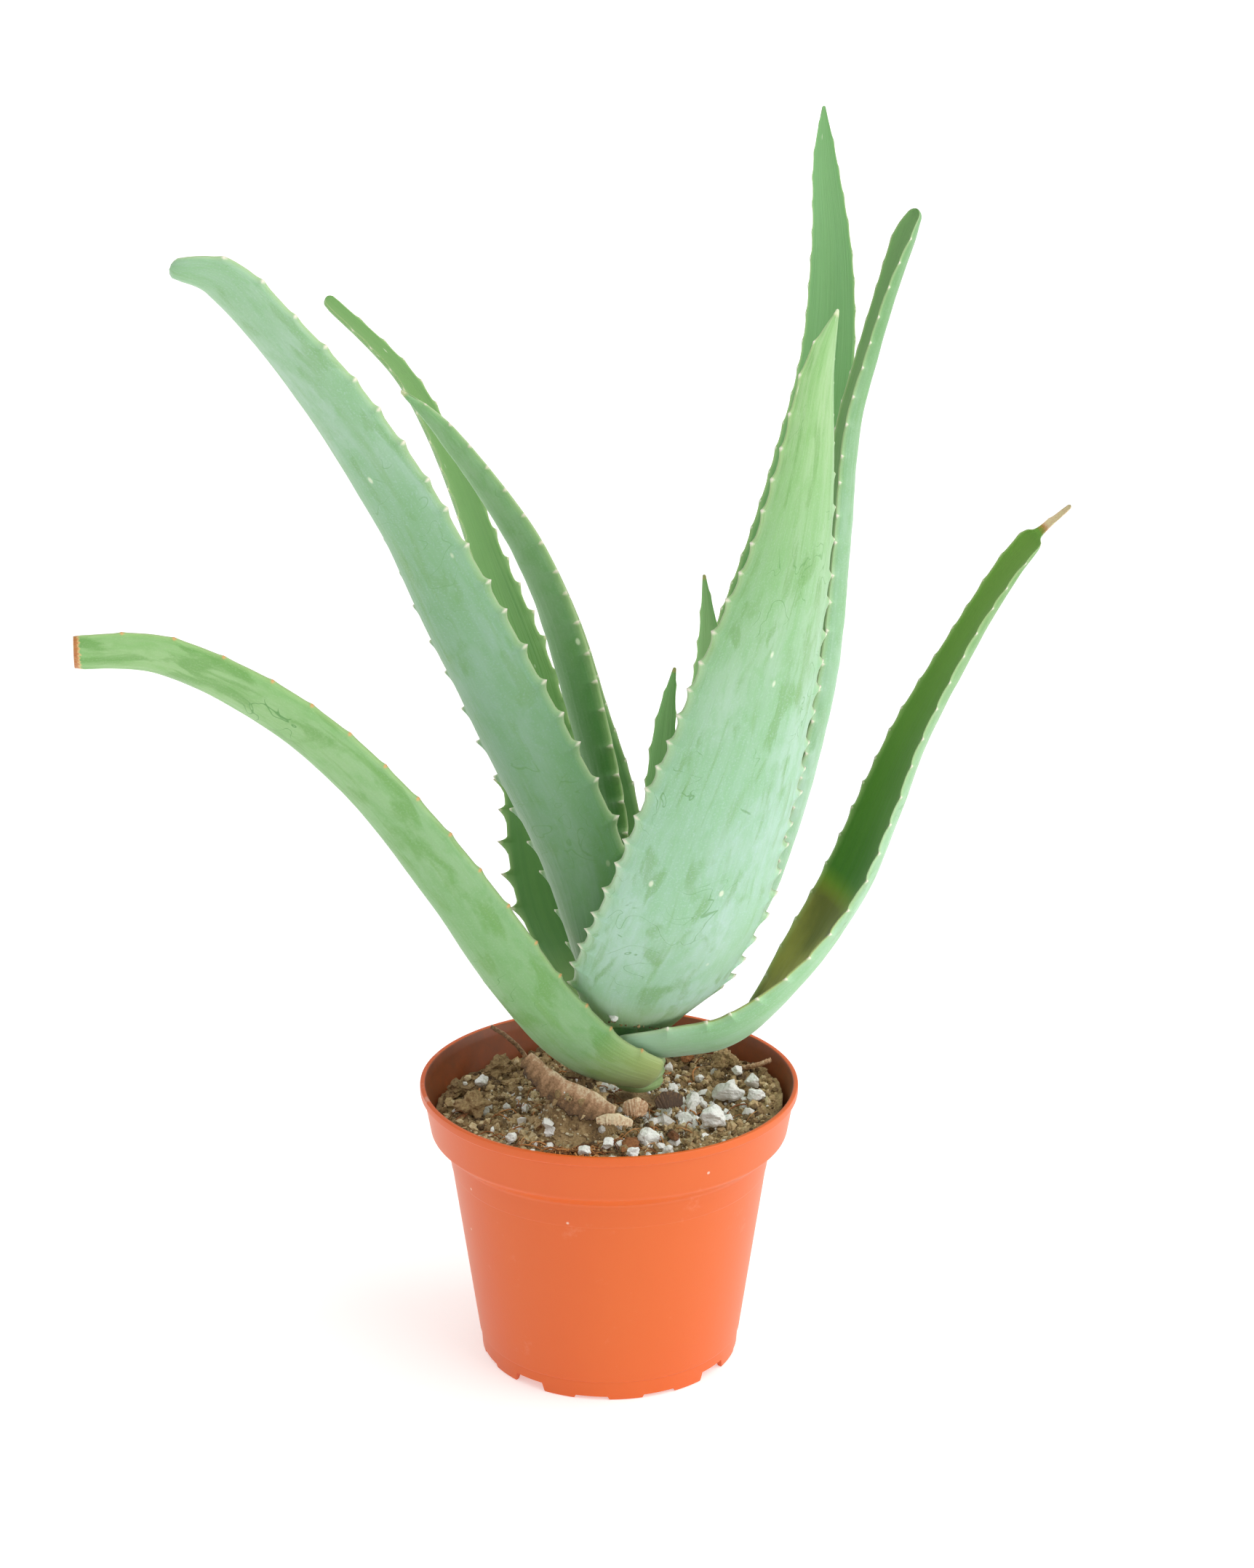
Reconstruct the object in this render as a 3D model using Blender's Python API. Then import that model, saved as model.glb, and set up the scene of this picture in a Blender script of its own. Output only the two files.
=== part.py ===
"""Potted aloe: a rosette of fleshy, saw-edged leaves growing from a short stem, in a thin
moulded nursery pot filled with peat and perlite.

Everything is laid out in millimetres around the pot's own axis, with the pot standing on
z = 0 and the front towards -Y.  At the end the whole plant is parented to one empty that
carries the middle of its bounding box to the origin.
"""

from math import cos, pi, radians, sin
from random import Random

import bmesh
import bpy
from mathutils import Matrix, Vector

MM = 0.001

# ---- driving dimensions, millimetres ---------------------------------------------------
POT_HEIGHT = 99.5
RIM_RADIUS = 65.0          # outside of the rim lip
LIP_HEIGHT = 3.2
BAND_RADIUS = 63.8         # outside of the band just under the lip
BAND_FOOT_RADIUS = 61.6    # outside of the band at its lower edge
BAND_HEIGHT = 17.0         # rim face down to the lower edge of the band
BODY_TOP_RADIUS = 56.0     # outside of the body, under the band
BODY_FOOT_RADIUS = 45.0    # outside of the body where it meets the table
WALL = 1.5
FLOOR_HEIGHT = 6.0         # top of the raised floor
FOOT_DEPTH = 3.6           # the floor's underside above the table
POT_SIDES = 60

NOTCH_PITCH = 30.0         # degrees between the notches in the foot
NOTCH_START = -97.5        # bearing of the first notch
NOTCH_WIDTH = 11.0
NOTCH_LOW = 1.3
NOTCH_HIGH = 3.3
HOLE_RADIUS = 4.0          # drain holes in the floor
HOLE_RING = 27.0
HOLE_COUNT = 6

GAP = 0.35                 # air kept between neighbouring pieces
TOOTH_PITCH = 11.5
TOOTH_HEIGHT = 2.1

# ---- leaves -----------------------------------------------------------------------------
# heading: the bearing the leaf grows towards, degrees from +X.
# channel, belly: depth of the hollow upper face and of the rounded underside, both as a
# share of the half width.  Stations, base to tip: x, y, z, half width, turn about the
# leaf's own length in degrees.
LEAVES = {
    "leaf_low_left": dict(heading=200, channel=0.22, belly=0.62, stations=(
        (15, -11, 106.5, 10.5, 36), (-6, -18, 118, 13.5, 46), (-25, -27, 143, 14, 46),
        (-48, -39, 183, 13.5, 42), (-74, -47, 221, 12.5, 36), (-102, -54, 249, 11.5, 37),
        (-136, -60, 268, 9.5, 44), (-163, -64, 270, 8, 52))),
    "leaf_low_right": dict(heading=3, channel=0.34, belly=0.62, stations=(
        (7, -10, 119, 10.5, -30), (23, -10, 121, 13, -32), (41, -8, 126, 14.5, -26),
        (60, -5, 146, 15.5, -2), (78, -2, 173, 14.8, 12), (90, 0, 201, 13, 16),
        (100, 1, 226, 11.5, 12), (117, 3, 258, 9.2, 8), (130, 4, 279, 7.4, 14),
        (138, 4, 289, 5.5, 26), (141, 4, 292, 1.8, 30), (150, 4, 300, 1.1, 18))),
    "leaf_wide_front": dict(heading=-60, channel=0.16, belly=0.46, stations=(
        (10, -3, 125, 17, -14), (14, -21, 146, 26, -18), (24, -43, 177, 28.5, -14),
        (32, -57, 208, 26.5, -12), (40, -68, 240, 24, -8), (47, -78, 272, 20.5, -4),
        (54, -85, 304, 16, 3), (58, -89, 333, 12.3, 14), (61, -89, 359, 8, 20),
        (67, -84, 377, 0.9, 18))),
    "leaf_wide_left": dict(heading=212, channel=0.2, belly=0.58, stations=(
        (3, -5, 123, 11, 8), (-3, -12, 158, 14, 24), (-9, -17, 189, 17, 30),
        (-25, -27, 228, 17.2, 31), (-44, -38, 272, 16.3, 26), (-62, -49, 313, 15.5, 20),
        (-81, -60, 347, 14, 20), (-99, -69, 372, 11.8, 20), (-112, -75, 386, 9.5, 30),
        (-124, -80, 389, 5, 45))),
    "leaf_narrow_left": dict(heading=174, channel=0.6, belly=1.2, stations=(
        (11, 10, 130, 9, -12), (11, 8, 160, 11, -8), (8, 6, 195, 11.5, -2),
        (0, 3, 229, 11, 7), (-8, 2, 258, 10.2, 10), (-19, 0, 285, 9, 13),
        (-31, -1, 304, 7.5, 16), (-50, -4, 328, 5, 19), (-65, -7, 340, 1, 30))),
    "leaf_back_left": dict(heading=138, channel=0.25, belly=0.62, stations=(
        (1, 18, 117, 10, 5), (-9, 29, 135, 14, -24), (-17, 39, 156, 17, -32),
        (-23, 50, 190, 15.5, -27), (-30, 59, 228, 12.5, -12), (-41, 65, 265, 9, 0),
        (-54, 69, 301, 7.4, 4), (-70, 70, 332, 6.6, 10), (-95, 72, 357, 3.6, 14))),
    "leaf_tall_back": dict(heading=76, channel=0.14, belly=0.5, stations=(
        (16, 20, 118, 8.5, 25), (22, 38, 152, 12.5, 25), (31, 52, 186, 14, 25),
        (41, 60, 211, 15.5, 24), (56, 68, 249, 16, 23), (67, 72, 290, 13.5, 24),
        (75, 74, 334, 10.2, 26), (76, 74, 372, 7.6, 29), (73, 72, 404, 4.5, 30),
        (72, 68, 422, 0.8, 30))),
    "leaf_slim_back": dict(heading=32, channel=0.45, belly=1.1, stations=(
        (21, 9, 125, 6.5, -5), (44, 22, 154, 9.5, 2), (59, 33, 193, 9.8, -8),
        (69, 39, 238, 9.3, -15), (74, 44, 278, 8, -19), (78, 49, 316, 6.6, -24),
        (85, 53, 342, 5.6, -21), (92, 55, 365, 5.3, -16), (98, 57, 381, 5, 0),
        (102, 58, 388, 3.2, 10))),
    "leaf_young_large": dict(heading=80, channel=0.2, belly=0.7, stations=(
        (16, 8, 132, 5, 20), (26, 13, 174, 7.5, 18), (32, 17, 221, 7.2, 18),
        (34, 19, 246, 4.6, 16), (32, 20, 273, 0.7, 10))),
    "leaf_young_small": dict(heading=80, channel=0.2, belly=0.7, stations=(
        (11, 0, 134, 4, 20), (15, 0, 162, 5.5, 10), (17, 2, 200, 5.2, 10),
        (19, 4, 226, 3.6, 10), (22, 5, 245, 0.7, 10))),
    "leaf_youngest": dict(heading=120, channel=0.2, belly=0.9, stations=(
        (9, -8, 138, 2.4, -5), (8, -9, 162, 2.8, -10), (7, -9, 187, 0.7, -20))),
}


# the stem's slices: height, radius, x, y
STEM = ((98.5, 8.0, 10, -2), (104, 9.0, 10, -2), (110, 9.0, 10, -1), (117, 8.0, 10, 1),
        (124, 6.5, 9, 3), (130, 4.0, 9, 3))

# ---- small pieces lying on the peat: x, y, then length, width, height --------------------
PERLITE_CRUMBS = (
    (41, -2, 10, 8, 7), (35, -26, 9, 8, 7), (13, -33, 7, 6, 6), (50, -6, 7, 5, 5),
    (-8, -44, 5, 4, 4), (26, -18, 6, 5, 5), (29, -6, 6, 5, 5), (0, -40, 5, 4, 4),
    (36, -13, 5, 4, 4), (20, -43, 4, 4, 4), (-19, -29, 5, 4, 4), (-45, 16, 5, 4, 4),
    (-33, -33, 4, 4, 4), (45, 17, 4, 4, 4), (8, -47, 5, 4, 4), (50, 7, 6, 5, 5),
)
BARK_CHIPS = ((7.5, -38, 9, 5, 3), (22, -31, 7, 4, 3), (-20, 46, 10, 5, 3), (28, 40, 8, 5, 3))
PEAT_CLUMPS = ((-46, -8, 11, 10, 7), (-53, 8, 9, 8, 6), (-40, 30, 10, 8, 6), (41, 27, 9, 8, 6))

# thin dry strips: path of x, y, z, then half width, thickness, the way the face looks
STRIPS = {
    "sheath_dry": (((-27, -15, 113), (-22, -21, 108), (-14, -27, 105), (-5, -31, 103.5),
                    (2, -32, 102)), 3.0, 0.7, (-0.3, -0.6, 0.75)),
    "sheath_scale": (((-4, -34, 99), (2, -35, 100), (8, -34, 98)), 1.8, 0.6, (0, -0.9, 0.6)),
    "husk_left": (((5, -27, 100), (9, -27.5, 101), (13, -26, 99.5)), 3.0, 0.6, (0.1, -1, 0.4)),
    "husk_right": (((16, -22, 99.5), (20, -20, 100.5), (25, -17, 99)), 2.8, 0.6,
                   (0.5, -1, 0.6)),
    "twig_left": (((-42, 31, 106), (-36, 26, 104), (-31, 23, 100), (-28, 19, 95.5)),
                  1.0, 1.4, (0, 0.3, 1)),
    "twig_right": (((57, 20, 98), (52, 19, 96.5), (45, 22, 93.5)), 1.2, 1.6, (0, 0.3, 1)),
}


def along(rows, u):
    """Smooth curve through the rows, read at position u counted in rows."""
    last = len(rows) - 1
    i = min(int(u), last - 1)
    f = u - i
    a, b, c, d = (rows[min(max(i + k, 0), last)] for k in (-1, 0, 1, 2))
    return [0.5 * (2 * q + (r - p) * f + (2 * p - 5 * q + 4 * r - s) * f * f
                   + (3 * q - p - 3 * r + s) * f ** 3) for p, q, r, s in zip(a, b, c, d)]


def section(half, channel, belly, tooth, grow):
    """Outline of one leaf slice: across and depth, margin to margin and back underneath."""
    wide = half + tooth
    top = [(x * half, grow - channel * half * (1 - x * x)) for x in (0.55, 0.0, -0.55)]
    under = [(x * (half + grow), -grow - belly * half * (1 - abs(x) ** 2.2) ** 0.75)
             for x in (-0.72, 0.0, 0.72)]
    if grow:
        lift = grow + 1.6 * channel * tooth
        return ([(wide, lift)] + top + [(-wide, lift), (-wide, -grow)] + under
                + [(wide, -grow)])
    return [(wide, 0.0)] + top + [(-wide, 0.0)] + under


def leaf_rings(leaf, grow=0.0):
    """Slices of a leaf from base to tip; grow > 0 gives a plain, slightly larger leaf."""
    rows = leaf["stations"]
    span = len(rows) - 1
    fine = [along(rows, span * k / 200) for k in range(201)]
    length = [0.0]
    for p, q in zip(fine, fine[1:]):
        length.append(length[-1] + (Vector(q[:3]) - Vector(p[:3])).length)
    cuts = [(0.0, 0.0)]
    tooth_at = 9.0
    while tooth_at < length[-1] - 5.0:
        share = tooth_at / length[-1]
        cuts.append((tooth_at - 0.45 * TOOTH_PITCH, 0.0))
        cuts.append((tooth_at, TOOTH_HEIGHT * (1.05 - 0.75 * share)))
        tooth_at += TOOTH_PITCH * (1.0 - 0.2 * share)
    cuts.append((length[-1], 0.0))
    bearing = radians(leaf["heading"])
    level = Vector((-sin(bearing), cos(bearing), 0.0))
    rings = []
    for place, tooth in cuts:
        k = next((i for i, run in enumerate(length) if run >= place - 1e-6), 200)
        here = fine[k]
        centre = Vector(here[:3])
        ahead = Vector(fine[min(k + 2, 200)][:3]) - Vector(fine[max(k - 2, 0)][:3])
        ahead.normalize()
        side = (level - ahead * level.dot(ahead)).normalized()
        face = ahead.cross(side)
        turn = radians(here[4])
        side, face = (side * cos(turn) + face * sin(turn),
                      face * cos(turn) - side * sin(turn))
        if grow:
            tooth = TOOTH_HEIGHT + grow
        if place == 0.0:
            centre -= ahead * grow
        if place == length[-1]:
            centre += ahead * grow
        half = max(here[3], 0.5)
        if half < 2.5 and not grow:
            tooth = 0.0
        rings.append([centre + side * x + face * z for x, z in
                      section(half, leaf["channel"], leaf["belly"], tooth, grow)])
    return rings


# ---- building ---------------------------------------------------------------------------
def clear_scene():
    for thing in list(bpy.data.objects):
        bpy.data.objects.remove(thing, do_unlink=True)


def material(name, colour, roughness):
    mat = bpy.data.materials.new(name)
    mat.use_nodes = True
    shader = mat.node_tree.nodes["Principled BSDF"]
    shader.inputs["Base Color"].default_value = (*colour, 1.0)
    shader.inputs["Roughness"].default_value = roughness
    return mat


def add_mesh(name, bm, mat, smooth=True):
    bmesh.ops.scale(bm, vec=(MM, MM, MM), verts=bm.verts)
    bmesh.ops.recalc_face_normals(bm, faces=bm.faces)
    for face in bm.faces:
        face.smooth = smooth
    mesh = bpy.data.meshes.new(name)
    bm.to_mesh(mesh)
    bm.free()
    obj = bpy.data.objects.new(name, mesh)
    bpy.context.collection.objects.link(obj)
    obj.data.materials.append(mat)
    return obj


def loft(rings):
    """Closed skin over a run of flat rings, with a flat face at each end."""
    bm = bmesh.new()
    loops = [[bm.verts.new(p) for p in ring] for ring in rings]
    count = len(rings[0])
    for lower, upper in zip(loops, loops[1:]):
        for i in range(count):
            j = (i + 1) % count
            bm.faces.new((lower[i], lower[j], upper[j], upper[i]))
    bm.faces.new(loops[0])
    bm.faces.new(loops[-1])
    bm.normal_update()
    bmesh.ops.triangulate(bm, faces=bm.faces, ngon_method="EAR_CLIP")
    return bm


def revolve(profile, sides):
    """Closed body turned about the Z axis from a closed list of (radius, z)."""
    bm = bmesh.new()
    rings = [[bm.verts.new((r * cos(2 * pi * k / sides), r * sin(2 * pi * k / sides), z))
              for r, z in profile] for k in range(sides)]
    count = len(profile)
    for k, ring in enumerate(rings):
        after = rings[(k + 1) % sides]
        for i in range(count):
            j = (i + 1) % count
            bm.faces.new((ring[i], ring[j], after[j], after[i]))
    return bm


def pot_outline():
    """Half section of the pot, outer side top to bottom and back up the inner side."""
    band_foot = POT_HEIGHT - BAND_HEIGHT
    lip_foot = POT_HEIGHT - LIP_HEIGHT
    outer = [(RIM_RADIUS - 0.6, POT_HEIGHT), (RIM_RADIUS, POT_HEIGHT - 0.6),
             (RIM_RADIUS, lip_foot + 0.5), (BAND_RADIUS, lip_foot - 0.3),
             (BAND_FOOT_RADIUS, band_foot + 0.6), (BAND_FOOT_RADIUS - 0.7, band_foot - 0.5),
             (BODY_TOP_RADIUS + 0.7, band_foot - 3.6), (BODY_TOP_RADIUS, band_foot - 4.8),
             (BODY_FOOT_RADIUS + 0.9, 7.2), (BODY_FOOT_RADIUS + 0.5, 6.8),
             (BODY_FOOT_RADIUS, 0.0)]
    foot = [(BODY_FOOT_RADIUS - 1.8, 0.0), (BODY_FOOT_RADIUS - 1.9, FOOT_DEPTH - 0.3),
            (HOLE_RADIUS, FOOT_DEPTH)]
    return outer + foot + [(HOLE_RADIUS, FLOOR_HEIGHT)] + inner_wall()


def inner_wall(inset=0.0):
    """The pot's inner side from the floor up to the rim, drawn in by inset."""
    band_foot = POT_HEIGHT - BAND_HEIGHT
    wall = [(BODY_FOOT_RADIUS - 2.8, FLOOR_HEIGHT), (BODY_FOOT_RADIUS - 0.9, FLOOR_HEIGHT + 2.0),
            (BODY_TOP_RADIUS - WALL, band_foot - 4.4),
            (BAND_FOOT_RADIUS - WALL - 0.5, band_foot - 0.2),
            (BAND_RADIUS - WALL, POT_HEIGHT - LIP_HEIGHT), (RIM_RADIUS - 1.6, POT_HEIGHT)]
    return [(r - inset, z) for r, z in wall]


def foot_cutter():
    """The notches round the foot and the drain holes in the floor, as one cutter."""
    bm = bmesh.new()
    for k in range(round(360 / NOTCH_PITCH)):
        bearing = NOTCH_START + k * NOTCH_PITCH
        high = NOTCH_HIGH if k % 3 == 2 else NOTCH_LOW
        spin = Matrix.Rotation(radians(bearing), 4, "Z")
        ends = []
        for r in (BODY_FOOT_RADIUS - 5, BODY_FOOT_RADIUS + 5):
            half = 0.5 * NOTCH_WIDTH
            ends.append([bm.verts.new(spin @ Vector((r, y, z))) for y, z in
                         ((-half - 1.2, -1.0), (half + 1.2, -1.0), (half, high), (-half, high))])
        for i in range(4):
            j = (i + 1) % 4
            bm.faces.new((ends[0][i], ends[0][j], ends[1][j], ends[1][i]))
        bm.faces.new(ends[0])
        bm.faces.new(ends[1])
    for k in range(HOLE_COUNT):
        bearing = 2 * pi * k / HOLE_COUNT
        place = Matrix.Translation((HOLE_RING * cos(bearing), HOLE_RING * sin(bearing), 4.5))
        bmesh.ops.create_cone(bm, cap_ends=True, segments=16, radius1=HOLE_RADIUS,
                              radius2=HOLE_RADIUS, depth=8.0, matrix=place)
    return bm


def soil_height(x, y):
    """Level of the peat: higher in front and at the right, mounded round the stem."""
    reach = ((x - 4) ** 2 + (y + 6) ** 2) ** 0.5
    mound = 6.5 * max(0.0, 1 - reach / 30) ** 1.3
    ripple = 0.9 * sin(0.21 * x + 1.0) * cos(0.17 * y) + 0.5 * sin(0.43 * x - 0.37 * y)
    share = min(max((x - 20) / 38, 0.0), 1.0)
    heap = 5.0 * share * share * (3 - 2 * share)
    return 89.0 - 0.035 * y + mound + ripple + heap


def soil_mesh():
    sides = 48
    bm = bmesh.new()
    wall = [p for p in inner_wall(GAP) if p[1] < 84]
    wall[0] = (wall[0][0], FLOOR_HEIGHT + GAP)
    surface = [(r, None) for r in (60.2, 54, 46, 37, 27, 17, 8)]
    loops = []
    for r, z in wall + surface:
        loop = []
        for k in range(sides):
            x, y = r * cos(2 * pi * k / sides), r * sin(2 * pi * k / sides)
            loop.append(bm.verts.new((x, y, soil_height(x, y) if z is None else z)))
        loops.append(loop)
    for lower, upper in zip(loops, loops[1:]):
        for i in range(sides):
            j = (i + 1) % sides
            bm.faces.new((lower[i], lower[j], upper[j], upper[i]))
    top = bm.verts.new((0, 0, soil_height(0, 0)))
    base = bm.verts.new((0, 0, FLOOR_HEIGHT + GAP))
    for i in range(sides):
        j = (i + 1) % sides
        bm.faces.new((loops[-1][i], loops[-1][j], top))
        bm.faces.new((loops[0][j], loops[0][i], base))
    bmesh.ops.triangulate(bm, faces=bm.faces)
    return bm


def stem_rings(grow=0.0):
    """Short bare stem between the soil and the leaf bases; grow makes it larger all round."""
    rings = []
    last = len(STEM) - 1
    for k, (z, radius, x, y) in enumerate(STEM):
        radius += grow
        z += grow * ((k == last) - (k == 0))
        rings.append([Vector((x + radius * cos(a), y + radius * sin(a), z))
                      for a in (2 * pi * i / 14 for i in range(14))])
    return rings


def strip_rings(path, wide, thick, up):
    """Slices of a thin dry strip along a path; up leans its face."""
    rings = []
    count = 3 * (len(path) - 1)
    for k in range(count + 1):
        u = (len(path) - 1) * k / count
        here = Vector(along(path, u))
        ahead = (Vector(along(path, min(u + 0.1, len(path) - 1)))
                 - Vector(along(path, max(u - 0.1, 0)))).normalized()
        face = (Vector(up) - ahead * ahead.dot(Vector(up))).normalized()
        side = ahead.cross(face)
        half = wide * (0.45 + 0.55 * sin(pi * (0.12 + 0.8 * k / count)))
        rings.append([here + side * x * half + face * z * thick * 0.5 for x, z in
                      ((1, 0), (0.4, 1), (-0.4, 1), (-1, 0), (-0.4, -1), (0.4, -1))])
    return rings


def lump(size, seed):
    """An angular crumb with its three sizes, the same every time for one seed."""
    rand = Random(seed)
    bm = bmesh.new()
    bmesh.ops.create_icosphere(bm, subdivisions=1 if max(size) < 6 else 2, radius=0.5)
    for vert in bm.verts:
        vert.co *= 1 + rand.uniform(-0.16, 0.1)
        vert.co = Vector(c * s for c, s in zip(vert.co, size))
    bmesh.ops.rotate(bm, verts=bm.verts, cent=(0, 0, 0),
                     matrix=Matrix.Rotation(rand.uniform(0, pi), 3, "Z"))
    return bm


def set_down(bm, x, y):
    """Rest a crumb on the peat at x, y with a small clearance."""
    bmesh.ops.translate(bm, verts=bm.verts, vec=(x, y, 0))
    lift = max(soil_height(v.co.x, v.co.y) - v.co.z for v in bm.verts)
    bmesh.ops.translate(bm, verts=bm.verts, vec=(0, 0, lift + 1.1))
    return bm


def solid_after(obj, cutters):
    """Cut the object back from its neighbours and keep its largest piece."""
    for cutter in cutters:
        mod = obj.modifiers.new("clear_" + cutter.name, "BOOLEAN")
        mod.operation = "DIFFERENCE"
        mod.solver = "EXACT"
        mod.object = cutter
    graph = bpy.context.evaluated_depsgraph_get()
    cut = bpy.data.meshes.new_from_object(obj.evaluated_get(graph))
    obj.modifiers.clear()
    bm = bmesh.new()
    bm.from_mesh(cut)
    bpy.data.meshes.remove(cut)
    unseen = set(bm.verts)
    pieces = []
    while unseen:
        stack = [unseen.pop()]
        piece = set(stack)
        while stack:
            for edge in stack.pop().link_edges:
                for vert in edge.verts:
                    if vert in unseen:
                        unseen.discard(vert)
                        piece.add(vert)
                        stack.append(vert)
        pieces.append(piece)
    pieces.sort(key=len, reverse=True)
    bmesh.ops.delete(bm, geom=[v for piece in pieces[1:] for v in piece], context="VERTS")
    bmesh.ops.dissolve_degenerate(bm, edges=bm.edges, dist=2e-5)
    bmesh.ops.triangulate(bm, faces=bm.faces)
    for face in bm.faces:
        face.smooth = True
    bm.to_mesh(obj.data)
    bm.free()


# ---- materials --------------------------------------------------------------------------
clear_scene()
GREEN = material("leaf_flesh", (0.30, 0.50, 0.33), 0.45)
PLASTIC = material("pot_plastic", (0.80, 0.14, 0.03), 0.38)
PEAT = material("peat", (0.13, 0.09, 0.05), 0.95)
HUSK = material("dry_husk", (0.45, 0.24, 0.14), 0.8)
PERLITE = material("perlite", (0.80, 0.80, 0.77), 0.9)

# ---- pot, soil, stem --------------------------------------------------------------------
pot = add_mesh("pot", revolve(pot_outline(), POT_SIDES), PLASTIC)
cutter = add_mesh("foot_cutter", foot_cutter(), PLASTIC, smooth=False)
cutter.hide_render = True
cutter.display_type = "WIRE"
mod = pot.modifiers.new("foot", "BOOLEAN")
mod.operation = "DIFFERENCE"
mod.solver = "EXACT"
mod.object = cutter
soil = add_mesh("soil", soil_mesh(), PEAT)
stem = add_mesh("stem", loft(stem_rings()), GREEN)

# ---- leaves, each cut back from the stem and from the leaves already in place ------------
guards = [add_mesh("stem_guard", loft(stem_rings(GAP + 0.2)), GREEN)]
for name, leaf in LEAVES.items():
    obj = add_mesh(name, loft(leaf_rings(leaf)), GREEN)
    solid_after(obj, guards)
    guards.append(add_mesh(name + "_guard", loft(leaf_rings(leaf, GAP)), GREEN))
for guard in guards:
    bpy.data.objects.remove(guard, do_unlink=True)

# ---- crumbs and dry scraps --------------------------------------------------------------
for name, pieces, look in (("perlite", PERLITE_CRUMBS, PERLITE),
                           ("bark", BARK_CHIPS, HUSK), ("peat_clump", PEAT_CLUMPS, PEAT)):
    for k, (x, y, *size) in enumerate(pieces):
        crumb = set_down(lump(size, 31 * len(name) + k), x, y)
        add_mesh("%s_%02d" % (name, k + 1), crumb, look, smooth=False)
for name, (path, half, thick, face) in STRIPS.items():
    add_mesh(name, loft(strip_rings(path, half, thick, face)), HUSK)

# ---- one parent that puts the middle of the bounding box over the origin ----------------
bpy.context.view_layer.update()
solids = [o for o in bpy.data.objects if o.type == "MESH"]
corners = [o.matrix_world @ v.co for o in solids if not o.hide_render for v in o.data.vertices]
middle = [0.5 * (min(c[k] for c in corners) + max(c[k] for c in corners)) for k in (0, 1)]
plant = bpy.data.objects.new("plant", None)
bpy.context.collection.objects.link(plant)
for obj in solids:
    obj.parent = plant
plant.location = (-middle[0], -middle[1], 0.0)
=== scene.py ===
"""Potted aloe: fleshy saw-edged leaves in a moulded nursery pot of peat and perlite.

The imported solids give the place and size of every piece.  Each operator below builds the
finished surface of one group of pieces in its place.  Lengths in the tables are millimetres
around the pot's own axis, as a grower would measure them.
"""

from math import cos, hypot, pi, radians, sin
from random import Random

import bmesh
import bpy
import numpy as np
from bpy.props import FloatProperty, FloatVectorProperty, IntProperty, PointerProperty
from mathutils import Euler, Matrix, Vector, noise


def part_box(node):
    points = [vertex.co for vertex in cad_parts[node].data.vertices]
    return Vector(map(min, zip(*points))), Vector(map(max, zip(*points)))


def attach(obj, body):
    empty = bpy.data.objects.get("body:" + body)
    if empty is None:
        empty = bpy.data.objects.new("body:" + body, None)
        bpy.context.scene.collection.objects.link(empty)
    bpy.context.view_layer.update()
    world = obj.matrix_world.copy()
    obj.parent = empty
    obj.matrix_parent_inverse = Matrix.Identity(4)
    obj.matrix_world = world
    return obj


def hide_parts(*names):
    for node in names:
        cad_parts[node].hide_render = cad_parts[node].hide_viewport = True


bl_info = {
    "name": "Potted aloe",
    "version": (1, 0, 0),
    "blender": (4, 5, 0),
    "location": "View3D > Sidebar > Aloe",
    "description": "Builds a potted aloe with its leaves, pot, peat and perlite",
    "category": "Object",
}

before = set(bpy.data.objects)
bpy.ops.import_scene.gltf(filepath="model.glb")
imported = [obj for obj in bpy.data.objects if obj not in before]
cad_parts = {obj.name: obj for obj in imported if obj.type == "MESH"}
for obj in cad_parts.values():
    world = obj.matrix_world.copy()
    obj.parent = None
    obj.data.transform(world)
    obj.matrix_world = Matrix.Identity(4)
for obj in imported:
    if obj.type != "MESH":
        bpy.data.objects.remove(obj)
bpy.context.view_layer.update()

MM = 0.001
POT_LOW, POT_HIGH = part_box("pot")
AXIS = Vector(((POT_LOW.x + POT_HIGH.x) / 2, (POT_LOW.y + POT_HIGH.y) / 2, 0.0))
POT_HEIGHT = (POT_HIGH.z - POT_LOW.z) / MM
RIM_RADIUS = (POT_HIGH.x - POT_LOW.x) / 2 / MM

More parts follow.
